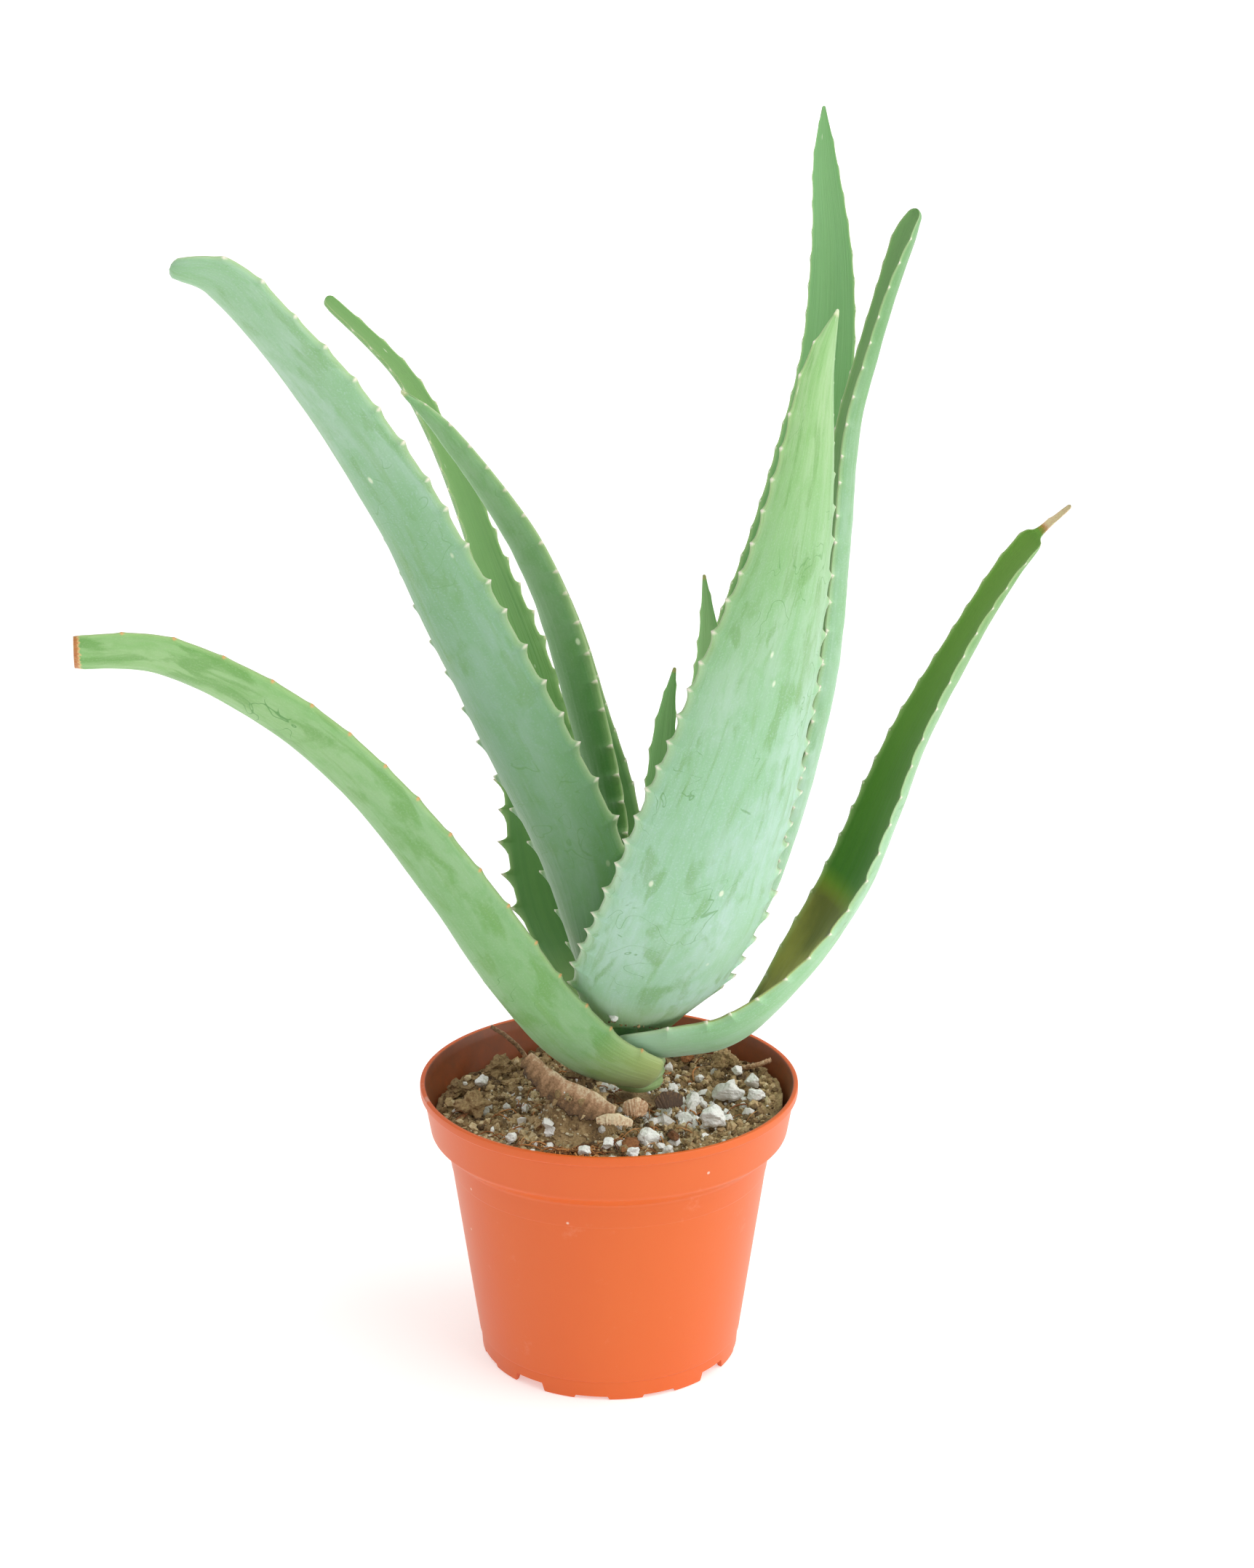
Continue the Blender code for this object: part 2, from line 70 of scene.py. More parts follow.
# heading: bearing the leaf grows towards, degrees from +X.  channel and belly: depth of the
# hollow upper face and of the rounded underside as shares of the half width.  Stations run
# base to tip: x, y, z, half width, turn about the leaf's own length in degrees.
LEAVES = {
    "leaf_low_left": dict(heading=200, channel=0.22, belly=0.62, stations=(
        (12, -12, 109, 11.5, 38), (-6, -18, 119, 13.8, 45), (-25, -27, 143, 14, 46),
        (-48, -39, 183, 13.5, 42), (-74, -47, 221, 12.5, 36), (-102, -54, 249, 11.5, 37),
        (-136, -60, 268, 9.5, 44), (-163, -64, 270, 8, 52))),
    "leaf_low_right": dict(heading=3, channel=0.34, belly=0.62, stations=(
        (7, -10, 119, 10.5, -30), (23, -10, 121, 13, -32), (41, -8, 126, 14.5, -26),
        (60, -5, 146, 15.5, -2), (78, -2, 173, 14.8, 12), (90, 0, 201, 13, 16),
        (100, 1, 226, 11.5, 12), (117, 3, 258, 9.2, 8), (130, 4, 279, 7.4, 14),
        (138, 4, 289, 5.5, 26), (141, 4, 292, 2.2, 30), (150, 4, 300, 1.5, 18))),
    "leaf_wide_front": dict(heading=-60, channel=0.16, belly=0.46, stations=(
        (10, -3, 125, 17, -14), (14, -21, 146, 26, -18), (24, -43, 177, 28.5, -14),
        (32, -57, 208, 26.5, -12), (40, -68, 240, 24, -8), (47, -78, 272, 20.5, -4),
        (54, -85, 304, 16, 3), (58, -89, 333, 12.3, 14), (61, -89, 359, 8, 20),
        (67, -84, 377, 0.9, 18))),
    "leaf_wide_left": dict(heading=212, channel=0.2, belly=0.58, stations=(
        (3, -5, 123, 11, 8), (-3, -12, 158, 14, 24), (-9, -17, 189, 17, 30),
        (-25, -27, 228, 17.2, 31), (-44, -38, 272, 16.3, 26), (-62, -49, 313, 15.5, 20),
        (-81, -60, 347, 14, 20), (-99, -69, 372, 11.8, 20), (-112, -75, 386, 9.5, 30),
        (-124, -80, 389, 5, 45))),
    "leaf_narrow_left": dict(heading=174, channel=0.6, belly=1.2, stations=(
        (11, 10, 130, 9, -12), (11, 8, 160, 11, -8), (8, 6, 195, 11.5, -2),
        (0, 3, 229, 11, 7), (-8, 2, 258, 10.2, 10), (-19, 0, 285, 9, 13),
        (-31, -1, 304, 7.5, 16), (-50, -4, 328, 5, 19), (-65, -7, 340, 1, 30))),
    "leaf_back_left": dict(heading=138, channel=0.25, belly=0.62, stations=(
        (1, 18, 117, 10, 5), (-9, 29, 135, 14, -24), (-17, 39, 156, 17, -32),
        (-23, 50, 190, 15.5, -27), (-30, 59, 228, 12.5, -12), (-41, 65, 265, 8.6, 4),
        (-54, 69, 301, 7, 12), (-70, 70, 332, 6, 17), (-95, 72, 357, 4.4, 14))),
    "leaf_tall_back": dict(heading=76, channel=0.14, belly=0.5, stations=(
        (16, 20, 118, 8.5, 25), (22, 38, 152, 12.5, 25), (31, 52, 186, 14, 25),
        (41, 60, 211, 15.5, 24), (56, 68, 249, 16, 23), (67, 72, 290, 13.5, 24),
        (75, 74, 334, 10.2, 26), (76, 74, 372, 7.6, 29), (73, 72, 404, 4.5, 30),
        (72, 68, 422, 0.8, 30))),
    "leaf_slim_back": dict(heading=32, channel=0.45, belly=1.1, stations=(
        (21, 9, 125, 6.5, -5), (44, 22, 154, 9.5, 2), (59, 33, 193, 9.8, -8),
        (69, 39, 238, 9.3, -15), (74, 44, 278, 8, -19), (78, 49, 316, 6.6, -24),
        (85, 53, 342, 5.6, -21), (92, 55, 365, 5.3, -16), (98, 57, 381, 5, 0),
        (102, 58, 388, 3.2, 10))),
    "leaf_young_large": dict(heading=80, channel=0.2, belly=0.7, stations=(
        (16, 8, 132, 5, 20), (26, 13, 174, 7.5, 18), (32, 17, 221, 7.2, 18),
        (34, 19, 246, 4.6, 16), (32, 20, 273, 0.7, 10))),
    "leaf_young_small": dict(heading=80, channel=0.2, belly=0.7, stations=(
        (11, 0, 134, 4, 20), (15, 0, 162, 5.5, 10), (17, 2, 200, 5.2, 10),
        (19, 4, 226, 3.6, 10), (22, 5, 245, 0.7, 10))),
    "leaf_youngest": dict(heading=120, channel=0.2, belly=0.9, stations=(
        (9, -8, 138, 2.4, -5), (8, -9, 162, 2.8, -10), (7, -9, 187, 0.7, -20))),
}

# How each leaf differs to the eye.  under, tip: colours of its waxy underside, near the base
# and near the tip; upper: of its upper face.  rubbed: how much bloom is gone.  teeth, spacing:
# size and pitch of the teeth as shares of the usual; orange: how orange their points are.
# base, base_reach: colour next to the stem and the share of the leaf it reaches over.
# dry_end: length of the dried end in millimetres, coloured dry and scorch, and left green
# where it is short.  Some also have
# upper_tip, the upper face near the tip; rot, the rotted stretch of the upper face in
# millimetres from the base; or cut, for a leaf broken off square.
USUAL_LOOK = dict(
    upper="#5F9148", rubbed=0.3, freckles=0.15, teeth=0.5, spacing=1.0, orange=0.1,
    dry_end=0.3, dry="#A9A26A", scorch="#7FA25B", base="#A9C77E", base_reach=0.11)
LEAF_LOOKS = {
    "leaf_low_left": dict(
        USUAL_LOOK, under="#8DB582", tip="#97BF80", rubbed=1.3, freckles=0.1, teeth=0.42,
        spacing=1.5, orange=0.85, dry_end=0.9, dry="#C87636", scorch="#E6C184", base="#B4C07A",
        cut=True),
    "leaf_low_right": dict(
        USUAL_LOOK, under="#A8CFAC", tip="#7FA862", upper="#437E22", rubbed=0.5,
        base="#B6D8BC", freckles=0.1, teeth=0.85, dry_end=9.5, dry="#DCCBA4", scorch="#BE6A33",
        rot=(8.0, 100.0), upper_tip="#7DA740"),
    "leaf_wide_front": dict(
        USUAL_LOOK, under="#ABCEBA", tip="#9CC286", rubbed=0.8, freckles=0.25, teeth=1.05,
        dry_end=1.6, dry="#D9E4BC", scorch="#BFCB98"),
    # its base colour is painted shade: a darker green fading out over the lower three quarters
    "leaf_wide_left": dict(
        USUAL_LOOK, under="#9ABDAB", tip="#A3C4A6", rubbed=0.6, base="#5C8C3E",
        base_reach=0.75, teeth=1.3, spacing=1.3),
    "leaf_narrow_left": dict(
        USUAL_LOOK, under="#6E9C62", tip="#A2C79B", upper="#4F8040", teeth=1.0, orange=0.15,
        dry_end=1.0, dry="#D9DDB4", scorch="#A7BC80"),
    "leaf_back_left": dict(
        USUAL_LOOK, under="#93B98A", tip="#8DB274", upper="#5A8B48", freckles=0.3, teeth=1.5,
        orange=0.2),
    "leaf_tall_back": dict(
        USUAL_LOOK, under="#9CC08F", tip="#9CC08F", upper="#4E8644", upper_tip="#8CBF82",
        freckles=0.4, teeth=0.25, orange=0.0),
    "leaf_slim_back": dict(
        USUAL_LOOK, under="#ABCFB2", tip="#86AF7E", upper="#66965A", rubbed=0.35, freckles=0.3,
        teeth=0.8),
    "leaf_young_large": dict(
        USUAL_LOOK, under="#86AE7B", tip="#90B784", upper="#6C9B62", rubbed=0.2, freckles=0.9,
        dry_end=1.0),
    "leaf_young_small": dict(
        USUAL_LOOK, under="#7FA972", tip="#8CB47E", upper="#64955A", rubbed=0.2, freckles=0.9,
        dry_end=1.0),
    "leaf_youngest": dict(
        USUAL_LOOK, under="#8DB37C", tip="#8DB37C", upper="#5C8B4C", rubbed=0.1, freckles=0.4,
        teeth=0.4, dry_end=0.8, dry="#9C8A5A"),
}


# ---- small helpers ----------------------------------------------------------------------
def linear(code):
    """sRGB hex colour to the linear RGBA that the shaders take."""
    parts = [int(code[i:i + 2], 16) / 255 for i in (1, 3, 5)]
    return tuple(p / 12.92 if p <= 0.04045 else ((p + 0.055) / 1.055) ** 2.4
                 for p in parts) + (1.0,)


def smooth_step(low, high, value):
    t = min(max((value - low) / (high - low), 0.0), 1.0)
    return t * t * (3 - 2 * t)


def along(rows, u):
    """Smooth curve through the rows, read at position u counted in rows."""
    last = len(rows) - 1
    i = min(int(u), last - 1)
    f = u - i
    a, b, c, d = (rows[min(max(i + k, 0), last)] for k in (-1, 0, 1, 2))
    return [0.5 * (2 * q + (r - p) * f + (2 * p - 5 * q + 4 * r - s) * f * f
                   + (3 * q - p - 3 * r + s) * f ** 3) for p, q, r, s in zip(a, b, c, d)]


def add_node(tree, kind, inputs=None, **settings):
    """Add a shader node; a socket given as an input is linked, anything else is set."""
    made = tree.nodes.new("ShaderNode" + kind)
    for key, value in settings.items():
        setattr(made, key, value)
    for key, value in (inputs or {}).items():
        socket = made.inputs[key]
        if isinstance(value, bpy.types.NodeSocket):
            tree.links.new(value, socket)
        else:
            socket.default_value = value
    return made


def new_material(name):
    """An empty node material with its shader and output joined."""
    mat = bpy.data.materials.new(name)
    mat.use_nodes = True
    tree = mat.node_tree
    tree.nodes.clear()
    shader = add_node(tree, "BsdfPrincipled")
    add_node(tree, "OutputMaterial", {"Surface": shader.outputs["BSDF"]})
    return mat, tree, shader


def new_object(name, points, faces, mat, attributes=None, smooth=True):
    """A mesh object from points in millimetres around the pot's axis."""
    mesh = bpy.data.meshes.new(name)
    mesh.from_pydata([tuple(Vector(p) * MM + AXIS) for p in points], [], faces)
    mesh.update()
    mesh.polygons.foreach_set("use_smooth", [smooth] * len(mesh.polygons))
    for key, values in (attributes or {}).items():
        if isinstance(values[0], (tuple, list)):
            layer = mesh.attributes.new(key, "FLOAT_VECTOR", "POINT")
            layer.data.foreach_set("vector", [c for v in values for c in v])
        else:
            layer = mesh.attributes.new(key, "FLOAT", "POINT")
            layer.data.foreach_set("value", values)
    mesh.materials.append(mat)
    obj = bpy.data.objects.new(name, mesh)
    bpy.context.scene.collection.objects.link(obj)
    return obj


def place(obj, slot, *nodes):
    """Give a finished piece its body and hide the solids it stands for; slot is not used."""
    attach(obj, "root")
    if nodes:
        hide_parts(*nodes)
    return obj


def skin_faces(rings, around, closed_ends=True):
    """Faces of a tube of equal rings, its first and last ring closed by a fan."""
    faces = []
    for r in range(rings - 1):
        for i in range(around):
            j = (i + 1) % around
            faces.append((r * around + i, r * around + j,
                          (r + 1) * around + j, (r + 1) * around + i))
    if closed_ends:
        faces.append(tuple(reversed(range(around))))
        faces.append(tuple((rings - 1) * around + i for i in range(around)))
    return faces


# ---- materials --------------------------------------------------------------------------
LEAF_MASKS = ("upper", "margin", "tooth", "dry", "share", "rot")
THIN_WAX_TINT = (0.66, 0.85, 0.58, 1.0)     # what thinner or thicker wax multiplies
THICK_WAX_TINT = (1.22, 1.12, 1.38, 1.0)    # the colour of the underside by


def waxed_leaf_skin(name, look, broad):
    """Aloe leaf skin: wet green flesh under a matt wax bloom.

    The bloom scatters light, so the underside looks pale and blue-grey with a broad soft
    sheen.  Where fingers and other leaves have rubbed it off, clean green shows.  Fine
    ridges run along the leaf, the edge is a thin clear line and its teeth are horny white.
    """
    mat, tree, shader = new_material(name)
    plane = add_node(tree, "Attribute", attribute_name="leaf_plane").outputs["Vector"]
    mask = {key: add_node(tree, "Attribute", attribute_name=key).outputs["Fac"]
            for key in LEAF_MASKS}
    place_in = add_node(tree, "TexCoord").outputs["Object"]

    def blotches(across, lengthwise, low, high, detail=3.0, distort=0.0, scale=1.0):
        """Soft blotches from 0 to 1, so many to a millimetre across and along the leaf."""
        spot = add_node(tree, "Mapping", {"Vector": plane, "Scale": (lengthwise, across, 1)})
        field = add_node(tree, "TexNoise", {"Vector": spot.outputs["Vector"], "Scale": scale,
                                            "Detail": detail, "Distortion": distort})
        return add_node(tree, "MapRange", {"Value": field.outputs["Fac"], "From Min": low,
                                           "From Max": high}, interpolation_type="SMOOTHSTEP"
                        ).outputs["Result"]

    def coat(below, above, *shares):
        """Lay one colour over another, as thick as the product of the shares."""
        thick = shares[0]
        for share in shares[1:]:
            thick = add_node(tree, "Math", {0: thick, 1: share}, operation="MULTIPLY"
                             ).outputs[0]
        return add_node(tree, "Mix", {0: thick, 6: below, 7: above}, data_type="RGBA"
                        ).outputs[2]

    # underside: bloom in slow drifts, fine ridges, rubbed streaks 8 to 30 mm long, a mottle
    # of a few millimetres where the wax is thin, and wear along both edges
    ridges = blotches(0.9, 0.03, 0.3, 0.7, 2.0)
    fibres = blotches(0.3, 0.014, 0.35, 0.65)
    drift = blotches(0.045, 0.016, 0.38, 0.64, 2.0)
    mottle = blotches(0.26, 0.13, 0.42, 0.68, 6.0, 0.4)
    bare = 0.1 * look["rubbed"]
    rubbed = blotches(0.12, 0.05, 0.62 - bare, 0.74 - bare, 9.0, 0.5)
    streaks = blotches(0.28, 0.03, 0.56, 0.72, 5.0, 0.5)
    dusting = blotches(1, 1, 0.52, 0.7, scale=1.5)
    off_middle = add_node(tree, "SeparateXYZ", {"Vector": plane}).outputs["Y"]
    off_middle = add_node(tree, "Math", {0: off_middle}, operation="ABSOLUTE").outputs[0]
    near_edge = add_node(tree, "MapRange", {"Value": off_middle, "From Min": 0.6 * broad,
                                            "From Max": 1.35 * broad}).outputs["Result"]
    edge_wear = blotches(0.1, 0.02, 0.3, 0.6, 4.0)

    # thin curling scratches, where the wax was scraped by a neighbour's teeth
    loops = add_node(tree, "TexNoise", {"Vector": plane, "Scale": 0.085, "Detail": 1.6,
                                        "Distortion": 0.7}).outputs["Fac"]
    level = add_node(tree, "Math", {0: loops, 1: 0.5}, operation="SUBTRACT").outputs[0]
    level = add_node(tree, "Math", {0: level}, operation="ABSOLUTE").outputs[0]
    scratch = add_node(tree, "MapRange", {"Value": level, "From Min": 0.003, "From Max": 0.008,
                                          "To Min": 1.0, "To Max": 0.0}).outputs["Result"]
    scraped = blotches(0.04, 0.022, 0.58, 0.62, 2.0)

    towards_tip = add_node(tree, "MapRange", {
        "Value": mask["share"], "From Min": 0.35, "From Max": 0.95},
        interpolation_type="SMOOTHSTEP").outputs["Result"]
    under = coat(linear(look["under"]), linear(look["tip"]), towards_tip)
    greener, paler = (
        add_node(tree, "Mix", {0: 1.0, 6: under, 7: tint}, data_type="RGBA",
                 blend_type="MULTIPLY").outputs[2] for tint in (THIN_WAX_TINT, THICK_WAX_TINT))
    below = under
    for colour, *shares in (
            (greener, drift, 0.75), (paler, fibres, 0.14), (greener, mottle, 0.5),
            (greener, ridges, 0.08), (greener, near_edge, edge_wear, 0.55),
            (linear("#6A9E4E"), rubbed, 0.45 * look["rubbed"] + 0.1),
            (linear("#76A75C"), streaks, 0.5 * look["rubbed"]), (paler, dusting, 0.28),
            (linear("#5F9450"), scratch, scraped, 0.7 * look["rubbed"])):
        below = coat(below, colour, *shares)

    # upper face: little bloom, deep green, the same ridges
    above = linear(look["upper"])
    bright = tuple(min(c * k, 1.0) for c, k in zip(above, (1.55, 1.28, 1.3))) + (1.0,)
    near_tip = linear(look["upper_tip"]) if "upper_tip" in look else bright
    for colour, *shares in ((bright, drift, 0.5), (bright, fibres, 0.3),
                            (near_tip, towards_tip, 0.6)):
        above = coat(above, colour, *shares)
    colour = coat(below, above, mask["upper"])

    # pale freckles 0.6 to 1.4 mm across, the mark of young leaves
    spot = add_node(tree, "Mapping", {"Vector": plane, "Scale": (0.09, 0.16, 1)})
    dots = add_node(tree, "TexVoronoi", {"Vector": spot.outputs["Vector"], "Scale": 1.0,
                                         "Randomness": 1.0})
    dot = add_node(tree, "MapRange", {"Value": dots.outputs["Distance"], "From Min": 0.07,
                                      "From Max": 0.14, "To Min": 1.0, "To Max": 0.0})
    draw = add_node(tree, "SeparateColor", {"Color": dots.outputs["Color"]}).outputs["Red"]
    chosen = add_node(tree, "Math", {0: draw, 1: 1.0 - 0.55 * look["freckles"]},
                      operation="GREATER_THAN")
    colour = coat(colour, linear("#E3EDD2"), dot.outputs["Result"], chosen.outputs[0], 0.8)

    # rot: collapsed olive and brown tissue with a wandering front, yellow just ahead of it
    patchy = blotches(0.05, 0.03, 0.3, 0.62, 5.0)
    rotten = coat(linear("#A5A54E"), linear("#6F7431"), patchy)
    yellow = add_node(tree, "MapRange", {"Value": mask["rot"], "From Min": 0.03,
                                         "From Max": 0.4})
    colour = coat(colour, linear("#9DB52E"), yellow.outputs["Result"], 0.85)
    front = add_node(tree, "Math", {0: patchy, 1: 0.35, 2: mask["rot"]},
                     operation="MULTIPLY_ADD")
    front = add_node(tree, "MapRange", {"Value": front.outputs[0], "From Min": 0.5,
                                        "From Max": 0.8})
    within = add_node(tree, "Math", {0: mask["rot"], 1: 0.02}, operation="GREATER_THAN")
    colour = coat(colour, rotten, front.outputs["Result"], within.outputs[0])

    # next to the stem, along the edge, on the teeth and at the dried end
    # near the stem the look's base colour: most leaves' own paler base, painted shade on
    # leaf_wide_left
    near_stem = add_node(tree, "MapRange", {
        "Value": mask["share"], "From Min": 0.0, "From Max": look["base_reach"],
        "To Min": 0.8, "To Max": 0.0})
    colour = coat(colour, linear(look["base"]), near_stem.outputs["Result"])
    colour = coat(colour, linear("#CFE0A2"), mask["margin"], 0.5)
    horn = coat(linear("#F4F5E2"), linear("#DE9138"), look["orange"])
    point = add_node(tree, "MapRange", {"Value": mask["tooth"], "From Min": 0.55,
                                        "From Max": 0.92})
    colour = coat(colour, horn, point.outputs["Result"])
    crust = blotches(1, 1, 0.35, 0.7, 4.0, scale=0.9)
    ragged = add_node(tree, "Math", {0: crust, 1: 0.3, 2: mask["dry"]},
                      operation="MULTIPLY_ADD").outputs[0]
    singed, dried = (
        add_node(tree, "MapRange", {"Value": ragged, "From Min": low, "From Max": high}
                 ).outputs["Result"] for low, high in ((0.32, 0.55), (0.5, 0.72)))
    husk = coat(linear(look["dry"]), linear(look["scorch"]), crust, 0.3)
    colour = coat(colour, coat(linear(look["scorch"]), husk, dried), singed)
    tree.links.new(colour, shader.inputs["Base Color"])

    # wax is matt where whole and glossier where rubbed; flesh glows a little through it
    gloss = add_node(tree, "MapRange", {"Value": rubbed, "To Min": 0.5, "To Max": 0.38})
    tree.links.new(gloss.outputs["Result"], shader.inputs["Roughness"])
    shader.inputs["IOR"].default_value = 1.42
    shader.inputs["Subsurface Weight"].default_value = 0.12
    shader.inputs["Subsurface Radius"].default_value = (0.5, 1.0, 0.35)
    shader.inputs["Subsurface Scale"].default_value = 0.003
    shader.inputs["Sheen Weight"].default_value = 0.12
    shader.inputs["Sheen Roughness"].default_value = 0.5
    grain = add_node(tree, "TexNoise", {"Vector": place_in, "Scale": 420.0, "Detail": 3.0})
    relief = add_node(tree, "Math", {0: grain.outputs["Fac"], 1: 0.35}, operation="MULTIPLY")
    for wave, high in ((ridges, 0.6), (crust, mask["dry"])):
        relief = add_node(tree, "Math", {0: wave, 1: high, 2: relief.outputs[0]},
                          operation="MULTIPLY_ADD")
    bump = add_node(tree, "Bump", {"Strength": 0.35, "Distance": 0.0003,
                                   "Height": relief.outputs[0]})
    tree.links.new(bump.outputs["Normal"], shader.inputs["Normal"])
    return mat


def moulded_polypropylene(name, body_code, pale_code):
    """Injection-moulded polypropylene: a waxy plastic that lets a little light in, so its
    colour glows and its highlights are broad.  Handling leaves faint scuffs and dust."""
    mat, tree, shader = new_material(name)
    where = add_node(tree, "TexCoord").outputs["Object"]
    flow = add_node(tree, "Mapping", {"Vector": where, "Scale": (1, 1, 0.35)}).outputs["Vector"]
    cloud = add_node(tree, "TexNoise", {"Vector": flow, "Scale": 16.0, "Detail": 4.0})
    scuff = add_node(tree, "TexNoise", {"Vector": where, "Scale": 60.0, "Detail": 8.0,
                                        "Roughness": 0.75})
    smear = add_node(tree, "MapRange", {"Value": scuff.outputs["Fac"], "From Min": 0.62,
                                        "From Max": 0.78, "To Max": 0.3})
    specks = add_node(tree, "TexVoronoi", {"Vector": where, "Scale": 150.0})
    speck = add_node(tree, "MapRange", {"Value": specks.outputs["Distance"], "From Min": 0.05,
                                        "From Max": 0.10, "To Min": 0.7, "To Max": 0.0})
    rare = add_node(tree, "SeparateColor", {"Color": specks.outputs["Color"]})
    chosen = add_node(tree, "Math", {0: rare.outputs["Red"], 1: 0.965},
                      operation="GREATER_THAN")
    dust = add_node(tree, "Math", {0: speck.outputs["Result"], 1: chosen.outputs[0]},
                    operation="MULTIPLY")
    worn = add_node(tree, "Attribute", attribute_name="worn").outputs["Fac"]
    inside = add_node(tree, "Attribute", attribute_name="inside").outputs["Fac"]
    # inner wall: a dark brown over most of it, part soil stain and part painted shade of the
    # recess
    stain_and_shade = add_node(tree, "MapRange", {"Value": scuff.outputs["Fac"], "From Min": 0.3,
                                        "From Max": 0.7, "To Min": 0.62, "To Max": 0.95})
    stain_and_shade = add_node(tree, "Math", {0: stain_and_shade.outputs["Result"], 1: inside},
                     operation="MULTIPLY")
    wear = add_node(tree, "Math", {0: worn, 1: scuff.outputs["Fac"]}, operation="MULTIPLY")
    wear = add_node(tree, "MapRange", {"Value": wear.outputs[0], "From Min": 0.3,
                                       "From Max": 0.5, "To Max": 0.85})
    body = add_node(tree, "Mix", {0: cloud.outputs["Fac"]}, data_type="RGBA")
    body.inputs[6].default_value = linear(body_code)
    body.inputs[7].default_value = linear(pale_code)
    last = body.outputs[2]
    for factor, code in ((stain_and_shade.outputs[0], "#70472F"),
                         (smear.outputs["Result"], "#F3A383"), (dust.outputs[0], "#F0D8C4"),
                         (wear.outputs["Result"], "#F4E6DC")):
        over = add_node(tree, "Mix", {0: factor}, data_type="RGBA")
        tree.links.new(last, over.inputs[6])
        over.inputs[7].default_value = linear(code)
        last = over.outputs[2]
    tree.links.new(last, shader.inputs["Base Color"])
    rough = add_node(tree, "MapRange", {"Value": cloud.outputs["Fac"], "To Min": 0.34,
                                        "To Max": 0.46})
    tree.links.new(rough.outputs["Result"], shader.inputs["Roughness"])
    shader.inputs["IOR"].default_value = 1.49
    shader.inputs["Subsurface Weight"].default_value = 0.12
    shader.inputs["Subsurface Radius"].default_value = (1.0, 0.35, 0.12)
    shader.inputs["Subsurface Scale"].default_value = 0.002
    peel = add_node(tree, "TexNoise", {"Vector": where, "Scale": 900.0, "Detail": 2.0})
    bump = add_node(tree, "Bump", {"Strength": 0.12, "Distance": 0.0002,
                                   "Height": peel.outputs["Fac"]})
    tree.links.new(bump.outputs["Normal"], shader.inputs["Normal"])
    return mat


def loose_grain(name, codes, roughness, cell_mm, relief):
    """Loose matter in many small bits.  Each bit carries its own tone from 0 to 1, which
    picks a colour between the given ones, and a mottle of its own grain size."""
    mat, tree, shader = new_material(name)
    where = add_node(tree, "TexCoord").outputs["Object"]
    tone = add_node(tree, "Attribute", attribute_name="tone").outputs["Fac"]
    fine = add_node(tree, "TexNoise", {"Vector": where, "Scale": 1.0 / (cell_mm * MM),
                                       "Detail": 4.0, "Roughness": 0.65})
    # this noise also raises the bump, so pits come out darker: grain mottle plus painted shade
    mixed = add_node(tree, "Math", {0: fine.outputs["Fac"], 1: 0.9, 2: -0.45},
                     operation="MULTIPLY_ADD")
    value = add_node(tree, "Math", {0: tone, 1: mixed.outputs[0]}, operation="ADD",
                     use_clamp=True)
    ramp = add_node(tree, "ValToRGB", {"Fac": value.outputs[0]})
    stops = ramp.color_ramp.elements
    while len(stops) < len(codes):
        stops.new(0.5)
    for k, code in enumerate(codes):
        stops[k].position = k / (len(codes) - 1)
        stops[k].color = linear(code)
    tree.links.new(ramp.outputs["Color"], shader.inputs["Base Color"])
    shader.inputs["Roughness"].default_value = roughness
    bump = add_node(tree, "Bump", {"Strength": 0.7, "Distance": relief * MM,
                                   "Height": fine.outputs["Fac"]})
    tree.links.new(bump.outputs["Normal"], shader.inputs["Normal"])
    return mat


# ---- leaves -----------------------------------------------------------------------------
INNER_STEPS = 12        # intervals across the upper face of a leaf slice
BELLY_STEPS = 16        # intervals across its rounded underside
SLICE_GAP = 2.2         # between slices, where no tooth asks for more
CLOSEST_SLICES = 0.18
TOOTH_SLICES = (-2.2, -1.2, -0.55, 0.0, 0.4, 0.9, 1.8)
TOOTH_PITCH = 11.5
TOOTH_HEIGHT = 2.1
FIRST_TOOTH, STAGGER = 8.0, 4.5         # from the base, and between the two edges
TOOTH_BACK, TOOTH_FRONT = 4.4, 3.0      # foot of a tooth on its base and tip sides
LEAN = 0.45             # how far a tooth leans to the tip, as a share of its height
# rings that round off the two ends: share of the slice's width, and how far past the end
# they stand, for the base as a share of its rounding and for the others in millimetres
BASE_ROUNDING = ((0.1, -1.0), (0.35, -0.95), (0.62, -0.8), (0.84, -0.53), (0.96, -0.24))
BASE_DEPTH = 0.42       # depth of the base's rounding as a share of its half width
TIP_ROUNDING = ((0.88, 0.8), (0.62, 1.6), (0.25, 2.1))
CUT_ROUNDING = ((0.93, 0.5), (0.82, 0.1), (0.66, -1.3), (0.36, -1.9), (0.1, -1.6))
GREEN_TIP = 0.5         # a dried end shorter than this is left green


def leaf_axis(leaf):
    """The leaf's length, and a function giving its centre, directions and width at s."""
    rows = leaf["stations"]
    span = len(rows) - 1
    fine = np.array([along(rows, span * k / 400) for k in range(401)])
    steps = np.linalg.norm(np.diff(fine[:, :3], axis=0), axis=1)
    run = np.concatenate(([0.0], np.cumsum(steps)))
    bearing = radians(leaf["heading"])
    level = Vector((-sin(bearing), cos(bearing), 0.0))

    def row_at(s):
        return [float(np.interp(s, run, fine[:, c])) for c in range(5)]

    def at(s):
        here = row_at(s)
        ahead = Vector(row_at(min(s + 1.5, run[-1]))[:3]) - Vector(row_at(max(s - 1.5, 0))[:3])
        ahead.normalize()
        side = (level - ahead * level.dot(ahead)).normalized()
        face = ahead.cross(side)
        turn = radians(here[4])
        return (Vector(here[:3]), ahead, side * cos(turn) + face * sin(turn),
                face * cos(turn) - side * sin(turn), max(here[3], 0.5))

    return float(run[-1]), at


